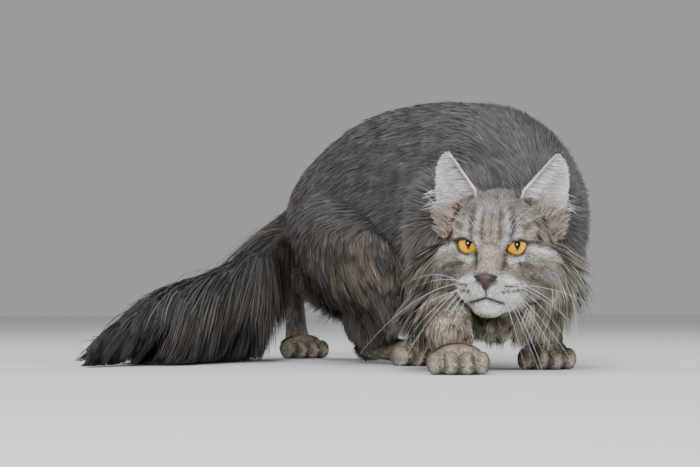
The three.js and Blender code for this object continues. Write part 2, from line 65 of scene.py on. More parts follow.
class Place:
    # a local frame of the body: x to the cat's left, y back, z up
    def __init__(self, origin, degrees, inside=None):
        self.turn = turned(degrees)
        self.origin = np.array(origin, float)
        if inside is not None:
            self.origin = inside.origin + inside.turn @ self.origin
            self.turn = inside.turn @ self.turn

    def out(self, points):
        return np.asarray(points, float) @ self.turn.T + self.origin

    def into(self, points):
        return (np.asarray(points, float) - self.origin) @ self.turn

    def along(self, ways):
        return np.asarray(ways, float) @ self.turn.T


bothSides = (("left", 1), ("right", -1))
headPlace = Place([-95, -235.5, 109], [4, 2, -44])
ruffPlace = Place([-74, -210, 0], [0, 0, -38])
earPlaces = {side: Place([s * 36, 34, 22], [-6, s * 16, s * 20], headPlace) for side, s in bothSides}
eyeHalf = 21.5
eyeLow, eyeHigh = [np.array(c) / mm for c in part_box("eye_right")]
shift = (eyeLow + eyeHigh) / 2 - headPlace.out([-eyeHalf, 0, 0])    # from the cat's own middle to the part's


def settle(points):
    # millimetres about the cat's middle to metres in the part's frame
    return (np.asarray(points, float) + shift) * mm


def smooth(low, high, value):
    t = np.clip((value - low) / (high - low), 0, 1)
    return t * t * (3 - 2 * t)


def unit(ways):
    return ways / np.maximum(np.linalg.norm(ways, axis=-1, keepdims=True), 1e-9)


camera = {"place": [-1154.3, -1696.0, 60.0], "look": [0.530, 0.848, 0.0], "pitch": 1.923, "lens": 106.46}


def makeCamera():
    bpy.ops.object.camera_add(location=settle(camera["place"]))
    made = bpy.context.object
    made.name = "studioCamera"
    level = math.radians(camera["pitch"])
    look = Vector(camera["look"]).normalized() * math.cos(level) + Vector((0, 0, math.sin(level)))
    made.rotation_euler = look.to_track_quat("-Z", "Y").to_euler()
    made.data.lens = camera["lens"]
    made.data.sensor_width = 36
    made.data.clip_end = 30
    bpy.context.scene.camera = made


makeCamera()


def only(piece):
    nothingSelected()
    piece.select_set(True)
    bpy.context.view_layer.objects.active = piece


def readOut(items, key, size, kind=float):
    # one property of all vertices, edges or loops, as rows of the given size
    values = np.empty(len(items) * size, kind)
    items.foreach_get(key, values)
    return values.reshape(-1, size)


def points(piece):
    return readOut(piece.data.vertices, "co", 3)


def setPoints(piece, places):
    piece.data.vertices.foreach_set("co", np.asarray(places, float).ravel())
    piece.data.update()


def spline(a, b, c, d, u):
    # the smooth curve from b to c, with a and d as their neighbours
    return b + 0.5 * u * (c - a + u * (2 * a - 5 * b + 4 * c - d + u * (3 * (b - c) + d - a)))


def curvePoint(stations, t):
    # a smooth curve through the stations, t from 0 to 1
    s = np.asarray(stations, float)
    s = np.vstack([2 * s[0] - s[1], s, 2 * s[-1] - s[-2]])
    t = np.atleast_1d(t) * (len(s) - 3)
    i = np.clip(t.astype(int), 0, len(s) - 4)
    return spline(s[i], s[i + 1], s[i + 2], s[i + 3], (t - i)[:, None])


def tube(stations, inset=0, upright=(0, 0, 1), caps=(0.5, 0.5), segments=28, rings=34):
    # a sphere drawn out along stations [x, y, z, across, up, down], pulled in by the coat's depth
    bpy.ops.mesh.primitive_uv_sphere_add(segments=segments, ring_count=rings, radius=1)
    piece = bpy.context.object
    ball = points(piece)
    share = np.arccos(np.clip(ball[:, 2], -1, 1)) / math.pi
    angle = np.arctan2(ball[:, 1], ball[:, 0])
    cap = 0.14
    t = np.clip((share - cap) / (1 - 2 * cap), 0, 1)
    inCap = np.clip(np.minimum(share, 1 - share) / cap, 0, 1) * math.pi / 2
    s = np.asarray(stations, float)
    middle, size = curvePoint(s[:, :3], t), curvePoint(s[:, 3:], t) - inset
    before, after = [curvePoint(s[:, :3], np.clip(t + step, 0, 1)) for step in (-0.01, 0.01)]
    ahead = unit(after - before)
    side = unit(np.cross(np.asarray(upright, float), ahead))
    above = np.cross(ahead, side)
    rise = np.where(np.sin(angle) > 0, size[:, 1], size[:, 2]) * np.sin(angle) * np.sin(inCap)
    spread = size[:, 0] * np.cos(angle) * np.sin(inCap)
    depth = np.where(share < 0.5, -caps[0], caps[1]) * size.mean(1) * np.cos(inCap)
    setPoints(piece, middle + side * spread[:, None] + above * rise[:, None] + ahead * depth[:, None])
    return piece


def ball(centre, radii, place=None, inset=0):
    bpy.ops.mesh.primitive_ico_sphere_add(subdivisions=4, radius=1)
    piece = bpy.context.object
    made = points(piece) * (np.array(radii, float) - inset) + np.array(centre, float)
    setPoints(piece, place.out(made) if place else made)
    return piece


def linked(mesh):
    piece = bpy.data.objects.new(mesh.name, mesh)
    bpy.context.collection.objects.link(piece)
    return piece


def joined(pieces, name):
    nothingSelected()
    for piece in pieces:
        piece.select_set(True)
    bpy.context.view_layer.objects.active = pieces[0]
    if len(pieces) > 1:
        bpy.ops.object.join()
    made = bpy.context.object
    made.name = made.data.name = name
    return made


def finished(piece, kind, **settings):
    # adds one modifier and applies it
    only(piece)
    modifier = piece.modifiers.new(kind.lower(), kind)
    for key, value in settings.items():
        setattr(modifier, key, value)
    bpy.ops.object.modifier_apply(modifier=modifier.name)


def edited(piece, operator, **settings):
    # runs one edit mode operator on the whole mesh
    only(piece)
    bpy.ops.object.mode_set(mode="EDIT")
    bpy.ops.mesh.select_all(action="SELECT")
    operator(**settings)
    bpy.ops.object.mode_set(mode="OBJECT")


def outward(piece):
    edited(piece, bpy.ops.mesh.normals_make_consistent, inside=False)


def pair(centre, radii):
    return [(centre, radii), ([-centre[0], centre[1], centre[2]], radii)]


skinDepth = {"trunk": 7, "neck": 8, "ruff": 6, "thigh": 6, "shin": 5, "foreleg": 5, "paw": 2.0,
             "tail": 3, "face": 2.2}    # how far the skin lies inside the coat, in mm
skinLift = 0.3    # the lowest the skin comes to the floor

trunkStations = [
    [0, 226, 149, 30, 32, 30], [0, 205, 149, 50, 52, 50], [0, 165, 152, 65, 74, 63],
    [0, 115, 156, 73, 90, 74], [0, 60, 160, 78, 100, 83], [0, 0, 160, 81, 103, 88],
    [0, -60, 157, 82, 102, 93], [-2, -110, 148, 80, 102, 95], [-8, -150, 138, 75, 90, 90],
    [-20, -180, 128, 62, 70, 79], [-30, -196, 120, 48, 52, 60]]
neckStations = [[-16, -130, 158, 60, 56, 66], [-34, -156, 144, 60, 54, 68],
                [-50, -176, 130, 56, 48, 68], [-60, -190, 118, 50, 40, 62]]
limbs = {
    "forelegRightUpper": [[-62, -122, 150, 46, 26, 40], [-78, -138, 112, 42, 26, 36],
                          [-92, -158, 76, 36, 26, 30]],
    "forelegRightLower": [[-88, -152, 74, 32, 24, 30], [-116, -196, 54, 26, 24, 26],
                          [-142, -238, 30, 22, 24, 24]],
    "forelegLeftUpper": [[58, -118, 150, 46, 24, 30], [54, -122, 110, 42, 24, 28],
                         [44, -132, 84, 34, 24, 24]],
    "forelegLeftLower": [[44, -128, 88, 32, 24, 24], [22, -160, 74, 26, 22, 24],
                         [4, -182, 44, 22, 20, 20], [-2, -186, 24, 20, 20, 20]],
    "thighRight": [[-32, 130, 134, 64, 40, 46], [-44, 80, 120, 68, 44, 52],
                   [-56, 28, 102, 58, 40, 46], [-64, -12, 88, 42, 30, 38]],
    "thighLeft": [[34, 112, 158, 60, 46, 40], [44, 122, 122, 54, 40, 36], [50, 136, 84, 40, 28, 28]],
    "shinRight": [[-62, -14, 72, 38, 26, 32], [-54, 24, 54, 38, 24, 28], [-42, 64, 46, 30, 18, 22]],
    "shinLeft": [[48, 144, 74, 34, 24, 24], [36, 196, 76, 28, 18, 20], [18, 256, 82, 18, 14, 14],
                 [10, 280, 84, 15, 13, 13]],
    "hockLeft": [[2, 262, 18, 15, 16, 16], [6, 274, 46, 14, 14, 14], [10, 284, 80, 16, 14, 14]]}
hockRight = [[-38, 60, 18, 15, 13, 16], [-38, 36, 17, 16, 12, 16], [-40, 4, 16, 18, 12, 15],
             [-43, -28, 15, 21, 12, 14]]
tailStations = [
    [-8, 222, 160, 20, 20, 26], [-34, 222, 142, 18, 14, 34], [-66, 208, 116, 18, 13, 40],
    [-104, 184, 98, 17, 13, 38], [-150, 158, 84, 17, 12, 36], [-204, 128, 70, 16, 12, 32],
    [-250, 105, 56, 14, 11, 26], [-288, 90, 41, 11, 9, 20], [-312, 82, 30, 7, 7, 13]]
paws = {"forepawRight": ([-151, -262], -32, 56), "forepawLeft": ([-6, -192], -26, 54),
        "hindpawRight": ([-44, -36], -8, 54), "hindpawLeft": ([0, 250], -14, 50)}
pawPlaces = {name: Place([x, y, 0], [0, 0, yaw]) for name, ((x, y), yaw, long) in paws.items()}
skullLumps = [
    ([0, 37, 8], [40, 46, 39]), ([0, 12, 16], [30, 26, 20]), *pair([19, 2, 14], [15, 11, 9]),
    *pair([22, 1, -14], [16, 12, 10]), *pair([34, 22, -20], [24, 30, 27]),
    ([0, -4, 2], [12, 14, 14]), ([0, -16, -10], [11, 16, 12]), ([0, -28, -20], [9.5, 13, 9]),
    ([0, -12, -34], [27, 24, 18]), *pair([13, -23, -36], [15, 14, 12]), ([0, -20, -52], [14, 13, 10]),
    ([0, 8, -42], [31, 32, 19]), *pair([eyeHalf, 0.4, 0], [15.2, 14.8, 14.4])]
skullMiddle = np.array([0, 16, -8])


def blended(p, lumps, inset, softness):
    # below zero inside overlapping ellipsoids [centre, radii], blended where they meet
    total = 0
    for centre, radii in lumps:
        radii = np.array(radii, float) - inset
        out = (p - np.array(centre)) / radii
        size = np.linalg.norm(out, axis=1)
        slope = np.linalg.norm(out / radii, axis=1)
        total = total + np.exp(-(size * (size - 1) / np.maximum(slope, 1e-6)) / softness)
    return -softness * np.log(np.maximum(total, 1e-30))


def castOn(lumps, origin, rays, inset=0, softness=3.2, reach=110, step=1.5):
    # the outermost point of the blended ellipsoids along each ray
    near = np.full(len(rays), float(reach))
    inside = np.zeros(len(rays), bool)
    while not inside.all() and near.min() > 0:
        near = np.where(inside, near, near - step)
        inside |= blended(origin + rays * near[:, None], lumps, inset, softness) <= 0
    far = near + step
    for _ in range(12):
        half = (near + far) / 2
        out = blended(origin + rays * half[:, None], lumps, inset, softness) > 0
        far, near = np.where(out, half, far), np.where(out, near, half)
    return origin + rays * near[:, None]


def faceFront(x, z, inset=0):
    # the foremost point of the face at a place across and up
    x, z = np.atleast_1d(x).astype(float), np.atleast_1d(z).astype(float)
    origin = np.stack([x, 0 * x, z], 1)
    return castOn(skullLumps, origin, np.tile([0.0, -1.0, 0.0], (len(x), 1)), inset)


# the opening of the eye from the front, from the outer corner over the top: outwards and up, in mm
eyeCorners = [[9.2, 5.2], [5.6, 6.4], [1.7, 6.7], [-2.6, 5.8], [-6.2, 3.0], [-9.2, -1.8], [-7.4, -4.4],
              [-3.8, -6.4], [0.5, -7.1], [4.9, -5.7], [8.0, -1.8], [9.3, 2.5]]


def closedCurve(corners, count):
    # a smooth loop through the corners
    c = np.array(corners, float)
    t = np.arange(count) / count * len(c)
    i, u = t.astype(int), (t % 1)[:, None]
    return spline(*[c[(i + k) % len(c)] for k in (-1, 0, 1, 2)], u)


eyeOutline = closedCurve(eyeCorners, 72)


def almond(x, z, side):
    # how far a point lies inside the opening of the eye, in millimetres, below zero outside
    p = np.stack([side * (x - side * eyeHalf), z], 1)
    found = -np.linalg.norm(p, axis=1) + 8
    near = np.nonzero(np.abs(p).max(1) < 16)[0]
    q = p[near]
    a, b = eyeOutline, np.roll(eyeOutline, -1, 0)
    away = np.full(len(q), 1e9)
    inside = np.zeros(len(q), bool)
    for (ax, az), (bx, bz) in zip(a, b):
        edge = np.array([bx - ax, bz - az])
        t = np.clip(((q - [ax, az]) @ edge) / (edge @ edge), 0, 1)
        away = np.minimum(away, np.linalg.norm(q - [ax, az] - t[:, None] * edge, axis=1))
        crosses = (az > q[:, 1]) != (bz > q[:, 1])
        inside ^= crosses & (q[:, 0] < (bx - ax) * (q[:, 1] - az) / (bz - az + 1e-12) + ax)
    found[near] = np.where(inside, away, -away)
    return found


def eyeOpening(h):
    return np.maximum(almond(h[:, 0], h[:, 2], 1), almond(h[:, 0], h[:, 2], -1))


mouth = {"half": 15, "top": -42, "droop": 5.0, "crease": 1.6}


def mouthDrop(x):
    return mouth["top"] - mouth["droop"] * smooth(-0.2, 1.1, np.abs(x) / mouth["half"])


def makeHeadSkin():
    bpy.ops.mesh.primitive_ico_sphere_add(subdivisions=6, radius=1)
    piece = bpy.context.object
    rays = unit(points(piece))
    made = castOn(skullLumps, skullMiddle, rays, skinDepth["face"])
    x, y, z = made.T
    front = y < -2
    for side in (1, -1):
        inside = almond(x, z, side)
        y = y + np.where(front, 9 * smooth(-0.3, 1.1, inside), 0)
        ring = np.exp(-((inside + 1.1) / 0.9) ** 2)    # the lids stand a little proud round the eye
        y = y - np.where(front, 0.5 * ring, 0)
    onMuzzle = (y < -18) & (np.abs(x) < mouth["half"] + 1)
    gap = np.abs(z - mouthDrop(x))
    y = y + np.where(onMuzzle, mouth["crease"] * np.exp(-(gap / 1.1) ** 2), 0)
    cleft = (y < -24) & (z < -31) & (z > -42)
    y = y + np.where(cleft, 1.2 * np.exp(-(x / 0.9) ** 2), 0)
    setPoints(piece, headPlace.out(np.stack([x, y, z], 1)))
    return piece


earShape = {"root": 16, "height": 62, "width": 42, "wall": 2.0}


def cupHalf(v, u):
    # half the cup's width at height v: straight above the inner base, u < 0, and rounded to the outer
    v = np.clip(v, 0, 1)
    outer = 0.95 * np.power(1 - v ** 3.2, 0.6)
    inner = np.power(np.minimum(1, 1.95 * (1 - v)), 0.95)
    return (earShape["width"] / 2) * np.where(u > 0, outer, inner) + 0.8


def cupDepth(v, u):
    return (17 * np.power(np.clip(1 - v, 0, 1), 0.8) + 0.8) * (1 - u * u)


def makeEarSkin(side, s):
    bpy.ops.mesh.primitive_grid_add(x_subdivisions=26, y_subdivisions=44, size=2)
    piece = bpy.context.object
    grid = points(piece)
    u, v = grid[:, 0] * 0.97, 1 - (0.5 - grid[:, 1] / 2) ** 1.5    # rows closer together at the tip
    height = -earShape["root"] + (earShape["root"] + earShape["height"]) * v
    cup = np.stack([s * u * cupHalf(v, u), cupDepth(v, u), height], 1)
    setPoints(piece, earPlaces[side].out(cup))
    finished(piece, "SOLIDIFY", thickness=earShape["wall"], offset=0)
    outward(piece)
    return piece


def makeSkin():
    body = [tube(trunkStations, skinDepth["trunk"], segments=48, rings=60, caps=(0.3, 0.35)),
            tube(neckStations, skinDepth["neck"], caps=(0.3, 0.25)),
            ball([0, 0, 70], [38, 20, 40], ruffPlace, inset=skinDepth["ruff"]),
            ball([2, 12, 92], [63, 20, 36], ruffPlace, inset=skinDepth["ruff"])]
    for name, stations in limbs.items():
        part = next(k for k in ("foreleg", "thigh", "shin", "hock") if name.startswith(k))
        inset = skinDepth["shin" if part == "hock" else part]
        body.append(tube(stations, inset * (0.6 if part == "hock" else 1), upright=(1, 0, 0)))
    body.append(tube(hockRight, 3))
    body.append(tube(tailStations, skinDepth["tail"], caps=(0.5, 1.2), rings=60))
    trunk = joined(body, "trunkSkin")
    finished(trunk, "REMESH", mode="VOXEL", voxel_size=3.2)
    finished(trunk, "SMOOTH", factor=0.5, iterations=6)
    feet = []
    for name, (centre, yaw, long) in paws.items():
        place = pawPlaces[name]
        feet.append(ball([0, 0, 10], [26, long / 2 - 4, 18], place, inset=skinDepth["paw"]))
        for u in (-0.68, -0.24, 0.24, 0.68):
            toe = [u * 28, -long * (0.36 - 0.34 * u * u), 9.5]
            feet.append(ball(toe, [8.6, 15, 11.5], place, inset=skinDepth["paw"] * 0.7))
    feet = joined(feet, "footSkin")
    finished(feet, "REMESH", mode="VOXEL", voxel_size=1.5)
    finished(feet, "SMOOTH", factor=0.5, iterations=3)
    for other in [feet, makeHeadSkin()] + [makeEarSkin(side, s) for side, s in bothSides]:
        finished(trunk, "BOOLEAN", operation="UNION", solver="MANIFOLD", object=other)
        bpy.data.objects.remove(other)
    setPoints(trunk, settle(np.maximum(points(trunk), [-np.inf, -np.inf, skinLift])))
    finished(trunk, "TRIANGULATE")
    edited(trunk, bpy.ops.uv.smart_project, angle_limit=math.radians(60), island_margin=0.002)
    bpy.ops.object.shade_smooth()
    trunk.data.uv_layers[0].name = "OFBake"
    trunk.name = trunk.data.name = "skin"
    return trunk


skin = makeSkin()
print("skin", len(skin.data.polygons), "triangles")


# Each part of the coat follows a line through the body from its root end to its far end, then come its
# numbers: reach, length, width and lockSize in mm, cover in hairs per square cm, hang is the pull of gravity
# at the root and bend the pull that grows along the hair.
coatKeys = ("reach", "length", "width", "lift", "hang", "bend", "cover", "lockSize", "lockPull")
coatRows = {
    "back": ([[-20, -180, 128], [0, -110, 148], [0, 0, 160], [0, 115, 156], [0, 226, 149]],
        78, 24, 0.76, 0.12, 0.22, 0.15, 53, 7, 0.12),
    "nape": ([[-60, -190, 122], [-40, -160, 144], [-16, -120, 158]],
        48, 32, 0.75, 0.22, 0.3, 0.2, 80, 7, 0.2),
    "chest": ([[-76, -216, 112], [-80, -220, 84], [-82, -222, 40]],
        40, 44, 0.85, 0.26, 0.9, 0.7, 120, 8, 0.4),
    "ruffRight": ([[-108, -176, 112], [-112, -178, 84], [-114, -182, 60]],
        36, 44, 0.85, 0.34, 0.7, 0.6, 110, 8, 0.4),
    "ruffLeft": ([[-36, -238, 112], [-34, -240, 84], [-36, -240, 60]],
        36, 48, 0.85, 0.36, 0.7, 0.6, 110, 8, 0.4),
    "thighRight": ([[-32, 130, 134], [-44, 80, 120], [-56, 28, 102], [-64, -12, 88]],
        46, 28, 0.75, 0.14, 0.5, 0.3, 62, 8, 0.2),
    "thighLeft": ([[34, 112, 158], [44, 122, 122], [50, 136, 84]],
        42, 30, 0.75, 0.14, 0.4, 0.3, 62, 8, 0.2),
    "shinRight": ([[-62, -14, 72], [-54, 24, 54], [-42, 64, 46]], 28, 20, 0.75, 0.14, 0.5, 0.3, 62, 7, 0.2),
    "shinLeft": ([[48, 144, 74], [36, 196, 76], [18, 256, 82], [8, 280, 60], [2, 266, 22]],
        18, 19, 0.75, 0.16, 0.4, 0.3, 62, 7, 0.25),
    "forelegRight": (
        [[-62, -122, 150], [-78, -138, 112], [-92, -158, 76], [-116, -196, 54], [-142, -238, 30]],
        27, 16, 0.7, 0.14, 0.4, 0.2, 64, 6, 0.2),
    "forelegLeft": (
        [[58, -118, 150], [54, -122, 110], [44, -132, 84], [22, -160, 74], [4, -182, 44], [0, -185, 42]],
        25, 15, 0.7, 0.14, 0.4, 0.2, 64, 6, 0.2),
    "hindfoot": ([[-38, 66, 22], [-38, 36, 19], [-40, 4, 18], [-43, -28, 16]],
        15, 12, 0.85, 0.14, 0.1, 0, 70, 6, 0.3),
    "tailBase": ([[-8, 222, 160], [-34, 222, 142], [-66, 208, 112], [-104, 184, 92]],
        24, 112, 1.0, 0.14, 0.9, 1.3, 120, 9, 0.4),
    "tailMiddle": ([[-104, 184, 92], [-150, 158, 78], [-204, 128, 64]],
        22, 98, 1.0, 0.14, 0.6, 1.1, 110, 9, 0.4),
    "tailTip": ([[-204, 128, 64], [-250, 105, 50], [-288, 90, 36], [-312, 82, 26]],
        16, 44, 0.95, 0.12, 0.3, 0.8, 120, 8, 0.4),
    "head": ([], 44, 6, 0.4, 0.26, 0, 0, 380, 3.0, 0.15),
}
for name, place in pawPlaces.items():
    start, end = place.out([[0, 20, 12], [0, -24, 10]])
    coatRows[name] = ([start, end], 22, 6, 0.47, 0.07, 0, 0, 220, 3, 0.15)
headCores = headPlace.out([[0, 10, -26], [0, 14, -4], [22, 22, -18], [-22, 22, -18], [0, 34, 4],
                           [0, -14, -34], [0, -16, -50]])
guideStep = 9
partNames = list(coatRows)


def coatGuides():
    # points along each part's line, with its direction, its reach and the part's number
    found = []
    for number, (name, (path, reach, *rest)) in enumerate(coatRows.items()):
        if name == "head":
            line, way = headCores, np.zeros((len(headCores), 3))
        else:
            path = np.array(path, float)
            steps = max(int(np.linalg.norm(np.diff(path, axis=0), axis=1).sum() / guideStep), 2)
            line = curvePoint(path, np.linspace(0, 1, steps))
            way = unit(np.gradient(line, axis=0))
        found.append((line, way, np.full(len(line), float(reach)), np.full(len(line), number)))
    return [np.concatenate(column) for column in zip(*found)]


guideSpots, guideWays, guideReach, guideOwner = coatGuides()


def shares(p):
    # how much each part of the coat owns a point, and the way its line runs there
    owned = np.zeros((len(p), len(partNames)))
    way = np.zeros((len(p), 3))
    for start in range(0, len(p), 20000):
        some = slice(start, start + 20000)
        away = np.linalg.norm(p[some, None, :] - guideSpots[None], axis=2) / guideReach
        near = away.min(1, keepdims=True)
        weight = np.exp(-9 * (away - near))
        for number in range(len(partNames)):
            owned[some, number] = weight[:, guideOwner == number].sum(1)
        way[some] = weight @ guideWays
    return owned / owned.sum(1, keepdims=True), unit(way)


def valued(owned, key):
    return owned @ np.array([row[1 + coatKeys.index(key)] for row in coatRows.values()], float)


def ownedBy(owned, *names):
    return owned[:, [partNames.index(name) for name in names]].sum(1)


def mottle(p, size, seed):
    # soft blotches from -1 to 1
    random = np.random.default_rng(seed)
    total = 0
    for _ in range(6):
        wave = unit(random.normal(size=3)) * 2 * math.pi / (size * random.uniform(0.7, 1.5))
        total = total + np.sin(p @ wave + random.uniform(0, 6.28))
    return total / 3


def tone(color, other, mask):
    # blends colours towards another, named or given, as far as the mask says
    mask = np.broadcast_to(np.clip(mask, 0, 1), len(color))
    other = furColors[other] if isinstance(other, str) else other
    return color + (np.array(other) - color) * mask[:, None]


def plain(name, p):
    return np.tile(np.array(furColors[name]), (len(p), 1))


def streak(a, b, x, z, width):
    # a soft stroke from a to b, seen from the front
    a, b = np.array(a, float), np.array(b, float)
    p = np.stack([x, z], 1) - a
    t = np.clip(p @ (b - a) / ((b - a) @ (b - a)), 0, 1)
    away = np.linalg.norm(p - t[:, None] * (b - a), axis=1)
    return np.exp(-(away / (width * (1.1 - 0.5 * t))) ** 2)


furColors = {
    "slate": (0.385, 0.38, 0.385), "spine": (0.25, 0.235, 0.22), "warm": (0.44, 0.41, 0.38),
    "haunchDark": (0.28, 0.255, 0.24), "belly": (0.40, 0.38, 0.35), "face": (0.67, 0.63, 0.59),
    "faceDark": (0.27, 0.24, 0.215), "faceGrey": (0.50, 0.485, 0.47), "cream": (0.94, 0.90, 0.85),
    "white": (0.97, 0.965, 0.95), "tan": (0.72, 0.60, 0.49), "bridge": (0.76, 0.69, 0.63),
    "ruffDark": (0.50, 0.48, 0.44), "ruffPale": (0.80, 0.78, 0.74), "olive": (0.72, 0.685, 0.585),
    "tailRoot": (0.135, 0.115, 0.10), "tail": (0.27, 0.26, 0.25), "tailPale": (0.42, 0.41, 0.40),
    "tailTip": (0.25, 0.24, 0.245), "paw": (0.80, 0.735, 0.65), "pawDark": (0.42, 0.375, 0.33),
    "pawPale": (0.92, 0.90, 0.87), "legDark": (0.31, 0.29, 0.27), "legPale": (0.68, 0.63, 0.57),
    "earBack": (0.42, 0.40, 0.39), "earHair": (0.97, 0.955, 0.96), "earTan": (0.72, 0.625, 0.54),
    "earSkin": (0.70, 0.635, 0.665), "earRed": (0.78, 0.50, 0.51)}


# strokes of the mask, alike on both sides: from, to, half width and strength, across and up from the
# middle between the eyes
faceStrokes = {
    "dark": [([15.5, 8], [15.5, 19], 1.9, 1.0), ([15.5, 19], [13, 32], 2.6, 0.8),
             ([6.4, 6], [6.0, 30], 1.3, 0.75), ([31, 4], [41, 5], 1.9, 1.0), ([41, 5], [52, -6], 2.6, 0.85),
             ([52, -6], [60, -14], 3.6, 0.7), ([24, 14], [31, 28], 2.2, 0.65),
             ([24, -13], [40, -17], 2.9, 0.7), ([33, -22], [56, -32], 3.4, 0.6),
             ([40, 14], [52, 20], 2.4, 0.5), ([22, 22], [20, 34], 2.0, 0.5), ([0, 8], [0, 26], 1.0, 0.5)],
    "side": [([12.4, -3], [13.0, -13], 1.4, 1.0), ([12.0, -13], [10.6, -21], 1.8, 0.7)],
    "pale": [([10.8, 6], [10.2, -4], 2.2, 1.0), ([16, -10.5], [26, -9.0], 2.6, 1.0),
             ([33, -1], [43, -4], 2.8, 0.8), ([18, 9.6], [32, 12], 1.8, 0.35),
             ([11, 14], [9.5, 28], 1.8, 0.6), ([19, 14], [18.5, 24], 1.5, 0.5),
             ([3, -20.5], [11, -20.5], 1.4, 0.6)]}
padSpots = [[x, z] for z, first in ((-31.2, 16.0), (-35.4, 14.4)) for x in np.arange(first, 27, 3.7)]


def faceTone(h):
    x, y, z = np.abs(h[:, 0]), h[:, 1], h[:, 2]
    color = plain("face", h)

    def strokes(kind, name):
        return [(name, strength, streak(start, end, x, z, width))
                for start, end, width, strength in faceStrokes[kind]]

    high = -23 - 3 * smooth(12, 26, x)    # the top of the whisker pads
    chin = smooth(21, 15, x) * smooth(-36, -42, z) * smooth(-57, -53, z) * smooth(2, -10, y)
    spots = [np.exp(-((x - across) / 1.7) ** 2 - ((z - up - 0.15 * (across - 20)) / 1.25) ** 2)
             for across, up in padSpots]
    for name, strength, mask in [
            ("faceGrey", 0.75, smooth(12, 26, z) * smooth(30, 16, x)),
            ("faceGrey", 0.6, smooth(18, 30, x) * smooth(-6, -16, z)),
            ("faceDark", 0.35, smooth(26, 40, z) * smooth(0.1, 0.8, np.cos(x * 0.62))),
            ("tan", 0.75, np.exp(-((x - 37) / 9) ** 2 - ((z - 19) / 8) ** 2)),
            *strokes("dark", "faceDark"),
            ("bridge", 0.85, smooth(9, 5, x) * smooth(-27, -20, z) * smooth(4, -3, z)),
            *strokes("side", "faceDark"),
            ("white", 0.95, smooth(31, 25, x) * smooth(high + 2, high - 3, z) * smooth(8, -6, y)),
            *strokes("pale", "white"),
            ("white", 0.95, chin),
            ("faceDark", 0.85, np.exp(-(z - mouthDrop(x)) ** 2) * smooth(16, 13, x) * smooth(-10, -16, y)),
            *[("faceDark", 1.0, spot * smooth(0, -10, y)) for spot in spots],
            ("olive", 0.9, smooth(-53, -57, z) + smooth(-44, -56, z) * smooth(-14, -4, y)),
            ("ruffPale", 1.0, smooth(44, 60, x) * smooth(10, -20, z) * (0.35 + 0.35 * mottle(h, 13, 3)))]:
        color = tone(color, name, strength * mask)
    return color


def pawTone(p, place):
    x, y, z = place.into(p).T
    between = np.abs(x / 12.3 - np.round(x / 12.3))    # 0 in the gaps between the toes, where painted shade goes
    gap = smooth(0.12, 0.03, between) * smooth(-4, -14, y) * smooth(17, 14, np.abs(x))
    bands = smooth(0.2, 0.9, np.sin(y / 4.2 + 1.2)) * smooth(-8, 6, y)
    color = plain("paw", p)
    # gap darkens the creases between the toes: painted shade
    for mask in (0.55 * gap, 0.35 * bands, 0.30 * mottle(p, 9, 12)):
        color = tone(color, "pawDark", mask)
    return tone(color, "pawPale", 0.7 * smooth(7, 2, z) + 0.3 * smooth(18, 26, np.abs(x)))


def markings(p, owned, normal):
    # the coat's colour at points about the cat's middle
    x, y, z = p.T
    spine = np.exp(-((x - 2) / 16) ** 2) * smooth(0.3, 0.8, normal[:, 2])
    trunk = tone(plain("slate", p), "spine", 0.75 * spine)
    bars = np.sin(y / 9.5 + 0.9 * np.sin(z / 26) + 0.02 * np.abs(x))
    trunk = tone(trunk, "legDark", 0.22 * smooth(0.1, 0.9, bars) * smooth(0.9, 0.4, normal[:, 2]))
    trunk = tone(trunk, "warm", 0.6 * smooth(90, 180, y))
    trunk = tone(trunk, "belly", smooth(-0.1, -0.7, normal[:, 2]))
    curls = np.sin(z / 8.5 + 0.9 * np.sin(y / 22) - y / 40)
    haunch = tone(plain("warm", p), "haunchDark", 0.55 * smooth(0.0, 0.8, curls))
    haunch = tone(haunch, "haunchDark", 0.5 * smooth(96, 62, z))
    leg = tone(plain("warm", p), "legPale", 0.9 * smooth(110, 56, z))
    leg = tone(leg, "legDark", 0.35 * smooth(0.1, 0.8, np.sin(z / 5.2 + y / 14)))
    chest = tone(plain("ruffDark", p), "ruffPale", 0.35 + 0.4 * mottle(p, 18, 5))
    bib = tone(tone(chest, "ruffPale", 0.5), "olive", 0.7 * np.exp(-((z - 62) / 16) ** 2))
    # the nape darkened towards the spine colour: painted shade under the head
    nape = tone(plain("slate", p), "spine", 0.5 + 0.3 * mottle(p, 20, 6))
    # waves: pale wavy bands in the tail hair, partly its own streaks and partly painted highlight lines along its
    # locks
    waves = smooth(0.1, 0.9, np.sin(x / 6.5 + 1.2 * np.sin(x / 17) + z / 60))
    tailRoot = tone(plain("tailRoot", p), "tail", smooth(-40, -90, x))
    h = headPlace.into(p)
    tones = {"back": trunk, "nape": nape, "chest": bib, "ruffLeft": tone(chest, "ruffPale", 0.45),
             # ruffRight is darkened towards legDark: painted shade on the cat's right side of the ruff
             "ruffRight": tone(chest, "legDark", 0.45), "thighRight": haunch, "thighLeft": haunch,
             "shinRight": haunch, "shinLeft": leg, "forelegRight": leg, "forelegLeft": leg, "hindfoot": leg,
             "tailBase": tone(tailRoot, "tailPale", 0.45 * waves),
             "tailMiddle": tone(plain("tail", p), "tailPale", 0.6 * waves), "tailTip": plain("tailTip", p),
             "head": tone(faceTone(h), "slate", 0.6 * smooth(50, 74, h[:, 1]))}
    tones.update({name: pawTone(p, place) for name, place in pawPlaces.items()})
    total = sum(tones[name] * owned[:, [i]] for i, name in enumerate(partNames))
    return total * (1 + 0.06 * mottle(p, 14, 9))[:, None]


def linear(color):
    return np.clip(color, 0, 1) ** 2.2


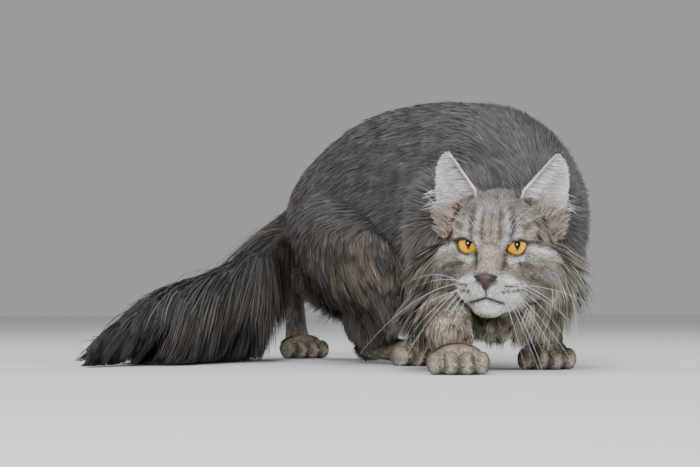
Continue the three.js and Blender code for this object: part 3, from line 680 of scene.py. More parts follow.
def headLie(h):
    # face hair runs from the nose back over the brow and out over the cheeks
    x, y, z = np.abs(h[:, 0]), h[:, 1], h[:, 2]
    side = np.sign(h[:, 0]) * smooth(4, 30, x)
    down = smooth(8, -30, z) * smooth(12, 40, x)
    way = unit(h - np.array([0, -50, -20])) + np.stack([0.35 * side, np.full(len(h), 0.25), -0.75 * down], 1)
    chin = smooth(-40, -50, z) * smooth(30, 10, x)
    way = way + chin[:, None] * np.array([0, 0.5, -1.6])
    ear = np.exp(-((x - 45) / 12) ** 2 - ((z - 14) / 11) ** 2) * smooth(50, 34, y)
    upward = np.stack([0.4 * side, np.full(len(h), -0.3), np.full(len(h), 2.2)], 1)
    return unit(way + ear[:, None] * upward)


def headLength(h):
    x, y, z = np.abs(h[:, 0]), h[:, 1], h[:, 2]
    away = np.linalg.norm(h - np.array([0, -44, -24]), axis=1)
    long = 1.7 + 1.6 * smooth(10, 30, away) + 3.6 * smooth(38, 70, away) + 9 * smooth(76, 110, away)
    cheek = smooth(38, 60, x) * smooth(24, -6, z)
    under = smooth(-57, -66, z) * smooth(-12, 2, y) + smooth(-44, -58, z) * smooth(-6, 10, y)
    ear = np.exp(-((x - 45) / 12) ** 2 - ((z - 13) / 9) ** 2) * smooth(50, 34, y)
    crown = smooth(34, 44, z) * smooth(30, 14, x)
    above = z - mouthDrop(x)
    lipped = 1 - smooth(-2.4, -1.2, above) * smooth(5.5, 2.0, above) * smooth(18, 15, x) * smooth(-8, -14, y)
    near = smooth(-7, -1, eyeOpening(h)) * smooth(10, -4, y)
    long = long + 26 * cheek + 22 * under + 13 * ear + 6 * crown
    return long * (1 - 0.55 * near) * (0.35 + 0.65 * lipped)


def skinSurface():
    mesh = skin.data
    corners = readOut(mesh.loops, "vertex_index", 1, int).reshape(-1, 3)
    maps = readOut(mesh.uv_layers["OFBake"].data, "uv", 2).reshape(-1, 3, 2)
    return points(skin) / mm - shift, corners, maps, readOut(mesh.vertices, "normal", 3)


def earRise(q):
    # the height in the ear, 0 at its root and 1 at its tip
    return (q[:, 2] + earShape["root"]) / (earShape["root"] + earShape["height"])


def inEar(p):
    # 1 for the left ear, -1 for the right, 0 elsewhere, and the point in the ear's own frame
    which = np.zeros(len(p))
    local = np.zeros((len(p), 3))
    for side, s in bothSides:
        q = earPlaces[side].into(p)
        v = earRise(q)
        half = cupHalf(v, s * q[:, 0])
        inside = (v > 0.04) & (v < 1.1) & (np.abs(q[:, 0]) < half + 3) & (q[:, 1] > -6) & (q[:, 1] < 24)
        middle = cupDepth(v, np.clip(q[:, 0] / half, -1, 1))
        inside &= np.abs(q[:, 1] - middle) < 3.2
        which[inside] = s
        local[inside] = q[inside]
    return which, local


def hollows(rounds=24):
    # how deep each point of the skin lies in a crease, in millimetres
    a, b = readOut(skin.data.edges, "vertices", 2, int).T
    here, there = np.concatenate([a, b]), np.concatenate([b, a])
    count = np.maximum(np.bincount(here, minlength=len(place)), 1)
    soft = place.copy()
    for _ in range(rounds):
        mean = np.stack([np.bincount(here, soft[there, axis], len(place)) / count for axis in range(3)], 1)
        soft = 0.4 * soft + 0.6 * mean
    return ((soft - place) * vertexNormals).sum(1)


place, corners, maps, vertexNormals = skinSurface()
crease = hollows()
cross = np.cross(place[corners[:, 1]] - place[corners[:, 0]], place[corners[:, 2]] - place[corners[:, 0]])
area = np.linalg.norm(cross, axis=1) / 2
centres = place[corners].mean(1)
faceNormals = unit(cross)
triangleShares = shares(centres)[0]
earOf = inEar(centres)[0]
onHead = ownedBy(triangleShares, "head") > 0.5
headLocal = headPlace.into(centres)
bareSpot = (eyeOpening(headLocal) > -0.9) & (headLocal[:, 1] < 0) & onHead
noseSpot = np.linalg.norm((headLocal - np.array([0, -39, -27])) / np.array([10, 8, 6]), axis=1) < 1
underFoot = (centres[:, 2] < 1.5) & (faceNormals[:, 2] < -0.6)
cover = valued(triangleShares, "cover") / 100
cover[earOf != 0] = 2.4    # hairs per square mm
lipSpot = (headLocal[:, 1] < -16) & (np.abs(headLocal[:, 0]) < mouth["half"] - 1) & onHead
lipSpot &= np.abs(headLocal[:, 2] - mouthDrop(headLocal[:, 0]) + 0.3) < 1.2
cover[bareSpot | noseSpot | underFoot | lipSpot] = 0
thin = 1.0


def rootsFor(mask, seed):
    # evenly spread roots over the chosen triangles
    random = np.random.default_rng(seed)
    chosen = np.nonzero(mask)[0]
    amount = np.cumsum(area[chosen] * cover[chosen] * thin)
    count = int(amount[-1])
    at = (np.arange(count) + random.uniform(0, 1, count)) / count * amount[-1]
    which = chosen[np.clip(np.searchsorted(amount, at), 0, len(chosen) - 1)]
    a, b = random.uniform(0, 1, (2, count))
    flip = a + b > 1
    a, b = np.where(flip, 1 - a, a), np.where(flip, 1 - b, b)
    bary = np.stack([1 - a - b, a, b], 1)[:, :, None]
    return {"root": (place[corners[which]] * bary).sum(1), "rootUV": (maps[which] * bary).sum(1),
            "normal": unit((vertexNormals[corners[which]] * bary).sum(1)),
            "deep": (crease[corners[which]] * bary[:, :, 0]).sum(1)}


def taken(hair, which):
    return {key: value[which] for key, value in hair.items()}


def paint(mesh, name, colors):
    attribute = mesh.color_attributes.new(name, "FLOAT_COLOR", "POINT")
    attribute.data.foreach_set("color", np.hstack([colors, np.ones((len(colors), 1))]).ravel())


def bladeMesh(name, lines, sides, widths, normals, rootUV, colors):
    # one flat tapered blade along each line; lines [n, k+1, 3] in metres
    n, k = lines.shape[0], lines.shape[1] - 1
    left = lines[:, :k] - sides[:, :k] * widths[:, :k, None] / 2
    right = lines[:, :k] + sides[:, :k] * widths[:, :k, None] / 2
    vertices = np.concatenate([np.stack([left, right], 2).reshape(n, 2 * k, 3), lines[:, k:]], 1)
    per = 2 * k + 1
    faces = []
    for i in range(k - 1):
        faces += [[2 * i, 2 * i + 1, 2 * i + 3], [2 * i, 2 * i + 3, 2 * i + 2]]
    faces.append([2 * k - 2, 2 * k - 1, 2 * k])
    faces = (np.array(faces)[None] + (np.arange(n) * per)[:, None, None]).reshape(-1, 3)
    mesh = bpy.data.meshes.new(name)
    mesh.vertices.add(n * per)
    mesh.vertices.foreach_set("co", vertices.ravel())
    mesh.loops.add(faces.size)
    mesh.loops.foreach_set("vertex_index", faces.ravel().astype(np.int32))
    mesh.polygons.add(len(faces))
    mesh.polygons.foreach_set("loop_start", (np.arange(len(faces)) * 3).astype(np.int32))
    mesh.polygons.foreach_set("use_smooth", np.ones(len(faces), bool))
    along = np.concatenate([np.repeat(np.arange(k), 2), [k]]) / k * 2 - 1
    across = np.concatenate([np.tile([-1.0, 1.0], k), [0]])
    patch = np.stack([across, along], 1) * 0.0015
    layer = mesh.uv_layers.new(name="OFBake")
    flat = (rootUV[:, None, :] + patch[None]).reshape(-1, 2)
    layer.data.foreach_set("uv", flat[faces.ravel()].ravel())
    shade = np.concatenate([np.repeat(colors[:, :k], 2, axis=1), colors[:, k:]], 1).reshape(-1, 3)
    paint(mesh, "coatColor", shade)
    mesh.update(calc_edges=True)
    mesh.validate()
    mesh.normals_split_custom_set_from_vertices(np.repeat(normals, per, axis=0))
    return linked(mesh)


def lockCentres(root, size, random):
    # every hair belongs to the nearest of a scatter of lock centres
    keep = random.uniform(0, 1, len(root)) < 1 / np.maximum(size, 1)
    keep[0] = True
    centres = np.nonzero(keep)[0]
    tree = kdtree.KDTree(len(centres))
    for i, c in enumerate(centres):
        tree.insert(root[c], i)
    tree.balance()
    found = np.fromiter((tree.find(r)[1] for r in root), int, len(root))
    return centres[found], found


# shadeAt and shade: painted shade along a hair, darkest at its root deep in the coat, a little lighter at its tip
strandShape = {"tame": 0.985, "flyLift": 2.2, "sunk": 0.08, "sunkMost": 1.2, "turn": 0.45,
               "widthAt": [0, 0.35, 0.75, 1], "width": [0.8, 1.0, 0.7, 0.05],
               "shadeAt": [0, 0.35, 0.8, 1], "shade": [0.55, 0.85, 1.05, 1.12]}
floorAt = 0.8    # how low hair comes, in mm
tailEnd, tailDrawn = -338, 0.65    # the end of the tail across, and how much hair past it is drawn in


def growHair(name, hair, segments, seed):
    # bends each hair from its root along the lie, gathers it into its lock and colours it
    random = np.random.default_rng(seed)
    root, normal, contrast = hair["root"], hair["normal"], hair["contrast"]
    n = len(root)

    def vary(least, more):
        return least + more * random.uniform(0, 1, n)

    centre, lock = lockCentres(root, np.maximum(hair["cover"] * hair["lockSize"] ** 2 / 100, 1), random)
    lockCount = lock.max() + 1
    lockLie = random.normal(0, 1, (lockCount, 3))[lock]
    lockTone = random.normal(0, 1, lockCount)[lock]
    length = hair["length"] * vary(0.75, 0.5)
    length = length * (1 + 0.10 * random.normal(0, 1, lockCount)[lock])
    stray = random.normal(0, 1, (n, 3))
    way = unit(hair["lie"] - normal * (hair["lie"] * normal).sum(1, keepdims=True) + 0.0001)
    way = unit(way + 0.10 * contrast[:, None] * lockLie + hair["spread"][:, None] * stray)
    way = unit(way - normal * (way * normal).sum(1, keepdims=True))
    lift = hair["lift"] * vary(0.7, 0.6)
    lift = np.where(vary(0, 1) > strandShape["tame"], lift * strandShape["flyLift"], lift)
    pull = np.tile([0, 0, -1.0], (n, 1))
    pressed = normal * np.minimum((pull * normal).sum(1, keepdims=True), 0)
    line = [root - normal * np.minimum(strandShape["sunk"] * length, strandShape["sunkMost"])[:, None]]
    for i in range(segments):
        t = (i + 0.5) / segments
        heading = way + normal * (lift * (1.15 - 0.9 * t))[:, None]
        freed = (pull - pressed * (1 - hair["drape"] * t)[:, None]) * (hair["bend"] * t * 1.5)[:, None]
        new = line[-1] + unit(heading + freed + hair["sweep"] * t) * (length / segments)[:, None]
        low = vary(floorAt, 2.0)
        new[:, 2] = np.maximum(new[:, 2], np.minimum(low, np.maximum(line[-1][:, 2], floorAt)))
        line.append(new)
    line = np.stack(line, 1)
    line[:, :, 0] -= tailDrawn * np.minimum(line[:, :, 0] - tailEnd, 0)
    t = np.linspace(0, 1, segments + 1)
    gather = hair["lockPull"][:, None] * t ** 1.6
    line = line + (line[centre] - line) * gather[:, :, None]
    roll = random.normal(0, strandShape["turn"], n)[:, None]
    side = unit(np.cross(way, normal) * np.cos(roll) + normal * np.sin(roll))
    profile = np.interp(t, strandShape["widthAt"], strandShape["width"])
    widths = (hair["width"] * vary(0.7, 0.6))[:, None] * profile[None]
    bright = 1 + (0.11 * random.normal(0, 1, n) + 0.06 * lockTone) * contrast
    bright = np.where(vary(0, 1) < hair["ticking"], bright * 1.35, bright)
    # painted shade along each hair: darkest at the root, where the coat shades it
    shade = np.interp(t, strandShape["shadeAt"], strandShape["shade"])
    colors = hair["color"][:, None, :] * np.clip(bright, 0.4, 1.7)[:, None, None] * shade[None, :, None]
    return bladeMesh(name, settle(line), np.repeat(side[:, None, :], segments + 1, axis=1), widths * mm,
                     unit(normal + 0.25 * stray), hair["rootUV"], linear(colors))


groups = {
    "fur_back": (["back"], 3, "body_fur"), "fur_nape": (["nape"], 3, "ruff_fur"),
    "fur_chest": (["chest", "ruffLeft", "ruffRight"], 4, "ruff_fur"),
    "fur_haunch": (["thighRight", "thighLeft"], 3, "body_fur"),
    "fur_legs": (["shinRight", "shinLeft", "forelegRight", "forelegLeft", "hindfoot"], 3, "leg_fur"),
    "fur_paws": (list(pawPlaces), 2, "paw_fur"),
    "fur_tail": (["tailBase", "tailMiddle", "tailTip"], 4, "tail_fur"),
    "fur_face": (["head"], 2, "face_fur")}
owner = triangleShares.argmax(1)
pieceLimit = 195000    # triangles in one piece of the coat
sweeps = {"tailBase": [-0.12, -0.06, 0], "tailMiddle": [-0.50, -0.2, 0], "tailTip": [-0.30, -0.10, 0]}


def setInputs(node, values):
    for key, value in values.items():
        node.inputs[key].default_value = value


def makeSpeckle():
    # fine noise over a colour, from the object's own coordinates, and the same noise as a bump
    group = bpy.data.node_groups.new("speckle", "ShaderNodeTree")
    sockets, nodes, link = group.interface, group.nodes, group.links.new
    sockets.new_socket("Color", in_out="INPUT", socket_type="NodeSocketColor")
    for name, value in (("Scale", 90), ("Darkest", 0.82), ("Lightest", 1.18), ("Depth", 0.25)):
        sockets.new_socket(name, in_out="INPUT", socket_type="NodeSocketFloat").default_value = value
    sockets.new_socket("Color", in_out="OUTPUT", socket_type="NodeSocketColor")
    sockets.new_socket("Normal", in_out="OUTPUT", socket_type="NodeSocketVector")
    given, result, where, noise, strength, scaled, bump = [nodes.new(kind) for kind in (
        "NodeGroupInput", "NodeGroupOutput", "ShaderNodeTexCoord", "ShaderNodeTexNoise", "ShaderNodeMapRange",
        "ShaderNodeVectorMath", "ShaderNodeBump")]
    scaled.operation = "SCALE"
    setInputs(noise, {"Detail": 3})
    setInputs(strength, {"From Min": 0.3, "From Max": 0.7})
    setInputs(bump, {"Distance": 0.0006})
    for start, output, end, entry in (
            (where, "Object", noise, "Vector"), (given, "Scale", noise, "Scale"),
            (given, "Darkest", strength, "To Min"), (given, "Lightest", strength, "To Max"),
            (noise, "Fac", strength, "Value"), (given, "Color", scaled, 0),
            (strength, "Result", scaled, "Scale"), (scaled, "Vector", result, "Color"),
            (given, "Depth", bump, "Strength"), (noise, "Fac", bump, "Height"),
            (bump, "Normal", result, "Normal")):
        link(start.outputs[output], end.inputs[entry])
    return group


speckle = makeSpeckle()


def attributeNode(material, name):
    node = material.node_tree.nodes.new("ShaderNodeAttribute")
    node.attribute_name = name
    return node


def newMaterial(name, values):
    material = bpy.data.materials.new(name)
    material.use_nodes = True
    setInputs(material.node_tree.nodes["Principled BSDF"], values)
    return material


def speckled(name, values, grainValues):
    # a material whose colour goes through the speckle
    material = newMaterial(name, values)
    nodes, links = material.node_tree.nodes, material.node_tree.links
    shader, grains = nodes["Principled BSDF"], nodes.new("ShaderNodeGroup")
    grains.node_tree = speckle
    setInputs(grains, grainValues)
    links.new(grains.outputs["Color"], shader.inputs["Base Color"])
    return material, shader, grains


def makeFurMaterial():
    material, shader, grains = speckled("fur", {"Roughness": 0.55, "Specular IOR Level": 0.3},
                                        {"Scale": 90, "Darkest": 0.86, "Lightest": 1.14})
    links = material.node_tree.links
    links.new(attributeNode(material, "coatColor").outputs["Color"], grains.inputs["Color"])
    return material


furMaterial = makeFurMaterial()


def dressed(piece, material, slot, *replaced):
    # gives a piece its material, hangs it under the root and hides the parts it replaces
    piece.data.materials.clear()
    piece.data.materials.append(material)
    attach(piece, "root")
    if replaced:
        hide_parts(*replaced)


def hairValues(hair, owned):
    # the coat's numbers at each root, with what changes over belly, cheeks, bib and creases
    hair.update({key: valued(owned, key) for key in coatKeys if key != "reach"})
    root, normal = hair["root"], hair["normal"]
    headPart, sleek = ownedBy(owned, "head"), ownedBy(owned, "back")
    belly = smooth(-0.15, -0.75, normal[:, 2]) * sleek
    length = hair["length"] * (1 - headPart) + headLength(headPlace.into(root)) * headPart
    length = length * (1 + 0.8 * belly)
    cheek = headPart * smooth(10, 26, length)
    low = smooth(76, 40, root[:, 2]) * ownedBy(owned, "chest")
    hair["length"] = length * (1 - 0.6 * low)
    raised = 0.5 * smooth(0.3, 1.8, hair["deep"]) * (1 - headPart)
    for key, more in (("bend", 0.8 * belly), ("lockPull", 0.25 * cheek), ("width", 0.25 * cheek),
                      ("lockSize", 4 * cheek), ("lift", raised)):
        hair[key] = hair[key] + more
    hair["contrast"] = 1 - 0.35 * headPart - 0.35 * sleek - 0.4 * ownedBy(owned, *pawPlaces)
    hair["spread"] = 0.07 + 0.05 * headPart
    hair["ticking"] = 0.05 + 0.05 * headPart - 0.03 * sleek
    hair["drape"] = ownedBy(owned, *sweeps)
    hair["sweep"] = sum(ownedBy(owned, part)[:, None] * np.array(way) for part, way in sweeps.items())


def growGroup(name, parts, segments, slot, seed):
    hair = rootsFor(np.isin(owner, [partNames.index(part) for part in parts]) & (earOf == 0), seed)
    root = hair["root"]
    owned, way = shares(root)
    hairValues(hair, owned)
    headPart = ownedBy(owned, "head")[:, None]
    lie = unit(way * (1 - headPart) + headPlace.along(headLie(headPlace.into(root))) * headPart)
    hair["lie"] = lie + np.array([0, 0, -1.0]) * hair["hang"][:, None]
    hair["color"] = markings(root, owned, hair["normal"])
    chunk = int(pieceLimit / (2 * segments - 1))
    for number, start in enumerate(range(0, len(root), chunk)):
        title = name if len(root) <= chunk else "%s_%d" % (name, number + 1)
        some = taken(hair, slice(start, start + chunk))
        dressed(growHair(title, some, segments, seed + 50 + number), furMaterial, slot)
    print(name, len(root), "hairs in", number + 1, "pieces")


for number, (name, (parts, segments, slot)) in enumerate(groups.items()):
    growGroup(name, parts, segments, slot, 100 + number)


def colorSkin():
    color = markings(place, shares(place)[0], vertexNormals) * 0.62    # painted shade deep in the coat: the skin darker than the hair's own markings
    which, local = inEar(place)
    inner = which != 0
    v = earRise(local)
    u = np.abs(local[:, 0]) / cupHalf(v, which * local[:, 0])
    ear = tone(plain("earSkin", color), "earRed", 0.3 * smooth(0.6, 0.45, v))
    ear = tone(ear, "tan", 0.9 * smooth(0.50, 0.36, v))
    ear = tone(ear, "cream", 0.9 * smooth(0.86, 0.94, u) * smooth(0.36, 0.5, v))
    color[inner] = ear[inner]
    paint(skin.data, "coatColor", linear(color))


colorSkin()
dressed(skin, furMaterial, "body_fur", "torso", "neck", "head", "foreleg_left", "foreleg_right",
        "forepaw_left", "forepaw_right", "thigh_left", "thigh_right", "shin_left", "shin_right",
        "hindfoot_left", "hindfoot_right", "tail_base", "tail_middle", "tail_tip", "ear_left", "ear_right")


earCoat = {"back": 7, "rim": 2.2, "inside": 15, "tuft": 20, "base": 14,    # lengths in mm
           "cover": 140.0, "lockSize": 2.6, "lockPull": 0.25,
           "spread": 0.09, "ticking": 0.05, "contrast": 0.7}


def growEars():
    hair = rootsFor(earOf != 0, 300)
    which, q = inEar(hair["root"])
    hair, q, which = taken(hair, which != 0), q[which != 0], which[which != 0]
    n = len(which)
    random = np.random.default_rng(301)
    v = earRise(q)
    half = cupHalf(v, which * q[:, 0])
    u = which * q[:, 0] / half
    out, low, rim = np.clip(u, 0, 1), smooth(0.46, 0.32, v), np.abs(u) > 0.94
    turns = np.where((which > 0)[:, None, None], earPlaces["left"].turn, earPlaces["right"].turn)
    inner = np.einsum("ni,nij->nj", hair["normal"], turns)[:, 1] < -0.1

    def ways(across, back, up):
        return np.stack(np.broadcast_arrays(across, back, up), 1)

    inward = ways(which, -0.25, 0.06 * np.ones(n)) * (1 - low[:, None])
    inward = inward + ways(which * (0.12 + 0.6 * out), -0.5, 1 - 0.4 * out) * low[:, None]
    lie = unit(np.where((inner & ~rim)[:, None], inward, ways(which * 0.35 * u, 0.15, np.ones(n))))
    hair["lie"] = np.einsum("nj,nij->ni", lie, turns)
    tuft = inner & (u > 0.5) & (v < 0.66) & (v > 0.36) & (random.uniform(0, 1, n) < 0.05)
    toEdge = 1.5 + 0.85 * (1 - u) * half
    long = np.minimum(earCoat["inside"] * smooth(1.04, 0.8, v), toEdge) * (1 - low) + earCoat["base"] * low
    long = long * (1 - 0.25 * low * smooth(0.2, 0.8, u))
    ragged = v + 0.05 * random.normal(0, 1, n) - 0.05 * u
    color = np.where(inner[:, None], furColors["earHair"], furColors["earBack"])
    for name, mask in (("earTan", inner * 0.7 * smooth(0.50, 0.32, ragged)),
                       ("face", inner * 0.85 * smooth(0.38, 0.20, ragged)),
                       ("faceDark", inner * low * 0.55 * (random.uniform(0, 1, n) < 0.25)),
                       ("cream", 0.9 * rim * inner), ("earHair", 1.0 * tuft)):
        color = tone(color, name, mask)
    kept = random.uniform(0, 1, n) < np.where(inner & ~rim, 0.55 + 0.45 * low, 0.5)
    hair.update({key: np.full(n, earCoat[key]) for key in (
        "cover", "lockSize", "lockPull", "spread", "ticking", "contrast")})
    hair.update({
        "length": np.select([tuft, rim, inner], [earCoat["tuft"], earCoat["rim"], long], earCoat["back"]),
        "lift": np.select([rim & inner, tuft, inner], [0.1, 0.55, 0.46 - 0.2 * low], 0.14), "color": color,
        "width": np.where(inner, 0.40, 0.6), "bend": np.where(tuft, 0.25, 0.02),
        "sweep": np.zeros((n, 3)), "drape": np.zeros(n)})
    dressed(growHair("fur_ears", taken(hair, kept), 3, 302), furMaterial, "ear_fur")
    print("fur_ears", kept.sum(), "hairs")


growEars()


def plainMaterial(name, color, roughness, coat=0.0, grain=300, depth=0.25, mottled=0.25):
    # a soft, slightly mottled and pitted surface
    material, shader, grains = speckled(
        name, {"Roughness": roughness, "Coat Weight": coat, "Coat Roughness": 0.08},
        {"Color": (*color, 1), "Scale": grain, "Darkest": 1 - mottled, "Lightest": 1 + mottled,
         "Depth": depth})
    material.node_tree.links.new(grains.outputs["Normal"], shader.inputs["Normal"])
    return material


def placedPiece(piece, name, material, slot, *replaced):
    piece.name = piece.data.name = name
    only(piece)
    bpy.ops.object.shade_smooth()
    dressed(piece, material, slot, *replaced)


eye = {"radius": 11.5, "iris": 9.7, "cornea": 1.0,
       "pupilHalf": 2.7, "pupilMiddle": 2.3, "pupilTop": 6.2, "pupilLow": -3.2,
       "gold": (1.0, 0.56, 0.008), "amber": (0.72, 0.27, 0.004), "rim": (0.16, 0.06, 0.006),
       "dark": (0.004, 0.004, 0.004), "lidShade": (0.10, 0.04, 0.006), "back": (0.012, 0.010, 0.009)}


def eyeMaterial():
    material = newMaterial("eye", {"Roughness": 0.35, "Specular IOR Level": 0.0, "Coat Weight": 0.8,
                                   "Coat Roughness": 0.02})
    nodes, links = material.node_tree.nodes, material.node_tree.links
    color = attributeNode(material, "irisColor")
    links.new(color.outputs["Color"], nodes["Principled BSDF"].inputs["Base Color"])
    return material


eyeFinish = eyeMaterial()


def irisColors(x, z):
    # the ringed iris and its drop-shaped pupil, seen along the gaze, in millimetres, with painted shadow of the
    # upper lid over its top
    away, angle = np.hypot(x, z), np.arctan2(z, x)
    fibre = 0.5 + 0.5 * np.sin(angle * 41 + 2.2 * np.sin(away * 1.7 + angle * 7)) * np.cos(angle * 17)
    middle = eye["pupilMiddle"]
    below = np.clip((z - eye["pupilLow"]) / (middle - eye["pupilLow"]), 0, 1) ** 0.85
    above = np.clip(1 - ((z - middle) / (eye["pupilTop"] - middle)) ** 2, 0, 1) ** 0.5
    half = eye["pupilHalf"] * np.where(z > middle, above, below)
    color = np.tile(np.array(eye["gold"]), (len(x), 1))
    for name, mask in (("amber", 0.45 * fibre * smooth(8.5, 3, away)),
                       ("amber", 0.6 * smooth(5.0, 2.4, away)),
                       # amber and rim growing with height: painted shadow of the upper lid
                       ("amber", 0.8 * smooth(0.5, 6.0, z)), ("rim", 0.75 * smooth(3.2, 6.4, z)),
                       ("rim", smooth(eye["iris"] - 1.4, eye["iris"] - 0.2, away)),
                       ("dark", smooth(eye["iris"] - 0.2, eye["iris"] + 0.4, away)),
                       ("dark", smooth(0.25, -0.25, np.abs(x) - half) * (half > 0.05))):
        color = tone(color, eye[name], mask)
    return color


def makeEye(side, s):
    # a ball whose pole looks at the viewer, with the iris and the lids' shade painted on
    middle = headPlace.out([s * eyeHalf, 0, 0])
    bpy.ops.mesh.primitive_uv_sphere_add(segments=128, ring_count=96, radius=1)
    piece = bpy.context.object
    ball = points(piece)
    gaze = Vector(np.array(camera["place"]) - middle).normalized()
    turn = np.array(gaze.to_track_quat("Z", "Y").to_matrix())
    up = turn.T @ np.array([0, 0, 1.0])
    roll = math.atan2(up[0], up[1])    # the iris's own upright in the gaze frame
    lx, ly = ball[:, 0] * eye["radius"], ball[:, 1] * eye["radius"]
    x, z = lx * math.cos(roll) - ly * math.sin(roll), ly * math.cos(roll) + lx * math.sin(roll)
    front = ball[:, 2] > 0
    swell = 1 + np.where(front, eye["cornea"] / eye["radius"] * smooth(eye["iris"], 0, np.hypot(lx, ly)), 0)
    color = tone(irisColors(x, z), eye["lidShade"], 0.75 * smooth(2.4, 0.4, almond(x + s * eyeHalf, z, s)))
    color[~front] = eye["back"]
    setPoints(piece, settle((ball * swell[:, None] * eye["radius"]) @ turn.T + middle))
    paint(piece.data, "irisColor", np.clip(color, 0, 1))
    placedPiece(piece, "eyeball_" + side, eyeFinish, "iris", "eye_" + side)


def ringsAlong(line, radii, ahead, toward, sides):
    # rings of points round a line
    side = unit(np.cross(ahead, np.tile(toward, (len(line), 1))))
    up = np.cross(side, ahead)
    turn = np.arange(sides) / sides * 2 * math.pi
    return line[:, None] + radii[:, None, None] * (side[:, None] * np.cos(turn)[None, :, None]
                                                   + up[:, None] * np.sin(turn)[None, :, None])


def loopTube(name, line, radii, material, slot, sides=10):
    # a round bead along a closed line of points in the head's frame
    bpy.ops.mesh.primitive_torus_add(major_segments=len(line), minor_segments=sides, major_radius=1,
                                     minor_radius=0.1)
    piece = bpy.context.object
    ahead = unit(np.roll(line, -1, 0) - np.roll(line, 1, 0))
    rings = ringsAlong(line, radii, ahead, [0.0, -1.0, 0.0], sides)
    setPoints(piece, settle(headPlace.out(rings.reshape(-1, 3))))
    outward(piece)
    placedPiece(piece, name, material, slot)


lidFinish = plainMaterial("lidSkin", (0.020, 0.015, 0.013), 0.35, 0.3)
lid = {"thick": 1.15, "over": 0.55}


def makeLids(side, s):
    # the dark rim of the lids, with the corner running down towards the nose
    u, z = eyeOutline[::s].T
    y = -np.sqrt(np.clip((eye["radius"] + lid["over"]) ** 2 - np.hypot(u, z) ** 2, 36, None))
    radii = lid["thick"] * (1 + 0.35 * smooth(2, 6, z) - 0.2 * smooth(-6, -9, u))
    loopTube("lid_" + side, np.stack([s * (u + eyeHalf), y, z], 1), radii, lidFinish, "face_fur")


for side, s in bothSides:
    makeEye(side, s)
    makeLids(side, s)

noseLumps = [([0, -39.5, -24.0], [10.4, 4.4, 2.0]), *pair([4.3, -39.2, -25.8], [3.9, 4.6, 2.6]),
             ([0, -39.8, -30], [3.2, 4.8, 5.6])]


def noseMaterial():
    material = plainMaterial("noseLeather", (0.090, 0.030, 0.032), 0.42, 0.25, grain=1400, depth=0.5,
                             mottled=0.2)
    nodes, links = material.node_tree.nodes, material.node_tree.links
    base = nodes["Principled BSDF"].inputs["Base Color"]
    mix = nodes.new("ShaderNodeMix")
    mix.data_type = "RGBA"
    mix.inputs[7].default_value = (0.018, 0.013, 0.013, 1)    # painted shade in the nostrils, their slits and the groove, and the leather's own dark rim
    links.new(attributeNode(material, "noseShadeAndRim").outputs["Fac"], mix.inputs["Factor"])
    links.new(base.links[0].from_socket, mix.inputs[6])
    links.new(mix.outputs[2], base)
    return material


def makeNose():
    bpy.ops.mesh.primitive_ico_sphere_add(subdivisions=5, radius=1)
    piece = bpy.context.object
    middle = np.array([0, -39.4, -26.6])
    made = castOn(noseLumps, middle, unit(points(piece)), 0, 1.1, 16, 0.5)
    x, y, z = made.T
    a = np.abs(x)
    front = y < -39
    nostril = np.exp(-(((a - 5.6) / 2.3) ** 2 + ((z + 27.2 - 0.25 * (a - 5.6)) / 1.05) ** 2))
    slit = np.exp(-(((a - 9.0) / 2.0) ** 2 + ((z + 26.6) / 0.6) ** 2))
    groove = np.exp(-(x / 0.55) ** 2) * smooth(-25, -29, z)
    y = y + np.where(front, 3.0 * nostril + 1.6 * slit + 0.8 * groove, 0)
    # painted shade in the nostrils, their slits and the groove; edge is the leather's own dark rim
    dark = np.maximum(nostril * 1.4, slit * 1.3) + groove * 0.7
    edge = smooth(2.8, 5.6, a) + smooth(-24.6, -23.0, z) + smooth(-27.5, -30, z)
    dark = np.clip(dark + 0.9 * edge, 0, 1)
    setPoints(piece, settle(headPlace.out(np.stack([x, y, z], 1))))
    paint(piece.data, "noseShadeAndRim", np.tile(dark[:, None], (1, 3)))
    placedPiece(piece, "nose_leather", noseMaterial(), "nose_leather", "nose")


makeNose()


def makeMouth():
    # the line where the lips meet, and the cleft under the nose
    x = np.linspace(-mouth["half"], mouth["half"], 61)
    line = faceFront(x, mouthDrop(x), skinDepth["face"])
    line[:, 1] += 0.9
    bead("lips", line, 0.75 * (1 - 0.65 * (np.abs(x) / mouth["half"]) ** 2))
    z = np.linspace(-34, -41, 14)
    cleft = faceFront(0 * z, z, skinDepth["face"])
    cleft[:, 1] += 0.5
    bead("lip_cleft", cleft, np.full(14, 0.6))


def strand(line, radii):
    # rings of a tapered round hair along a line of points
    return ringsAlong(line, radii, unit(np.gradient(line, axis=0)), [0.12, -0.99, 0.08], 6)


def strandsMesh(name, strands, material, slot):
    # closed tubes, each from its rings of points about the cat's middle
    places, faces, start = [], [], 0
    for rings in strands:
        k, sides = rings.shape[:2]
        places.append(rings.reshape(-1, 3))
        for i in range(k - 1):
            for j in range(sides):
                a, b = start + i * sides + j, start + i * sides + (j + 1) % sides
                faces.append([a, b, b + sides, a + sides])
        faces.append(list(range(start, start + sides))[::-1])
        faces.append(list(range(start + (k - 1) * sides, start + k * sides)))
        start += k * sides
    mesh = bpy.data.meshes.new(name)
    mesh.from_pydata(settle(np.vstack(places)).tolist(), [], faces)
    piece = linked(mesh)
    outward(piece)
    placedPiece(piece, name, material, slot)


def bead(name, line, radii):
    strandsMesh(name, [strand(headPlace.out(line), radii)], lidFinish, "face_fur")


makeMouth()

whiskers = {"rows": [-31.2, -35.4, -39.0], "from": 14, "to": 28, "perRow": 4, "thick": 0.17, "front": -312,
            "brow": 5, "browThick": 0.15, "low": 1.2, "color": (0.86, 0.86, 0.85)}


def whiskerLine(root, way, long, curl, curled, t):
    # a hair that leaves the root along its way and curls more towards its tip
    return headPlace.out(root + unit(np.array(way)) * long * t + np.array(curl) * long * t ** 2 * curled)


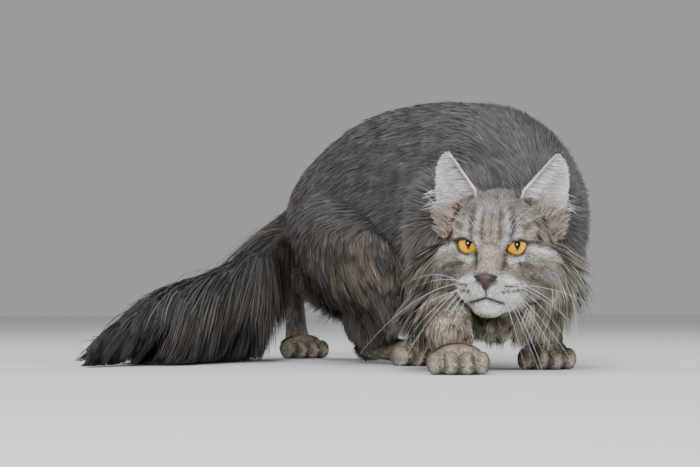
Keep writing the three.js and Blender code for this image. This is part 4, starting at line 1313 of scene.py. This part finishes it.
def makeWhiskers():
    random = np.random.default_rng(9)
    made = []
    for s in (1, -1):
        for row, z in enumerate(whiskers["rows"]):
            for i in range(whiskers["perRow"]):
                step = (i + 0.5 * (row % 2)) / whiskers["perRow"]
                x = s * (whiskers["from"] + (whiskers["to"] - whiskers["from"]) * step)
                root = faceFront(x, z, skinDepth["face"] + 0.6)[0]
                share = i / whiskers["perRow"]
                rise = -0.05 - 0.36 * row + 0.30 * random.normal()
                way = [s * (0.5 + 0.5 * share), -0.55 + 0.6 * share, rise]
                long = (60 + 34 * share + 14 * random.normal()) * (1 - 0.08 * row)
                fall = 0.5 + 0.8 * random.uniform()
                t = np.linspace(0, 1, 18)[:, None]
                line = whiskerLine(root, way, long, [0.10 * s, 0.24, -fall], 0.62, t)
                line[:, 2] = np.maximum(line[:, 2], whiskers["low"])
                over = np.maximum(whiskers["front"] - line[:, 1], 0)[:, None]
                line = line + over * np.array([0.625, 1, 0])    # back along the camera's look
                made.append(strand(line, whiskers["thick"] * (1 - 0.8 * t[:, 0])))
        for i in range(whiskers["brow"]):
            root = faceFront(s * (14 + 3.0 * i), 15 + 1.2 * i, skinDepth["face"] + 0.5)[0]
            t = np.linspace(0, 1, 12)[:, None]
            line = whiskerLine(root, [s * (0.25 + 0.2 * i), -0.62, 0.75], 30 + 9 * random.uniform(),
                               [0.3 * s, 0.55, -0.25], 0.6, t)
            made.append(strand(line, whiskers["browThick"] * (1 - 0.8 * t[:, 0])))
    strandsMesh("whiskers", made, plainMaterial("whisker", whiskers["color"], 0.3, mottled=0.05), "face_fur")


makeWhiskers()
print("face")


studio = {"floor": (0.82, 0.82, 0.82, 1), "room": (0.80, 0.82, 0.85, 1), "roomStrength": 0.45,
          "aim": (0, 0, 0.12),
          "lights": {"keyLight": ((-1.5, -1.9, 1.5), 1.0, 62, (1, 0.985, 0.97)),
                     "fillLight": ((1.6, -1.4, 1.0), 1.6, 20, (0.96, 0.98, 1)),
                     "topLight": ((0.1, 0.5, 2.1), 1.6, 19, (1, 1, 1))}}    # place, size, power, colour


def makeStudio():
    bpy.ops.mesh.primitive_plane_add(size=14, location=(0, 0, 0))
    floor = bpy.context.object
    floor.name = "floor"
    floor.data.materials.append(newMaterial("paper", {"Base Color": studio["floor"], "Roughness": 0.9}))
    for name, (where, size, power, color) in studio["lights"].items():
        bpy.ops.object.light_add(type="AREA", location=where)
        lamp = bpy.context.object
        lamp.name = name
        lamp.data.size, lamp.data.energy, lamp.data.color = size, power, color
        lamp.rotation_euler = (Vector(studio["aim"]) - Vector(where)).to_track_quat("-Z", "Y").to_euler()
    world = bpy.data.worlds.new("room")
    world.use_nodes = True
    setInputs(world.node_tree.nodes["Background"],
              {"Color": studio["room"], "Strength": studio["roomStrength"]})
    bpy.context.scene.world = world


makeStudio()
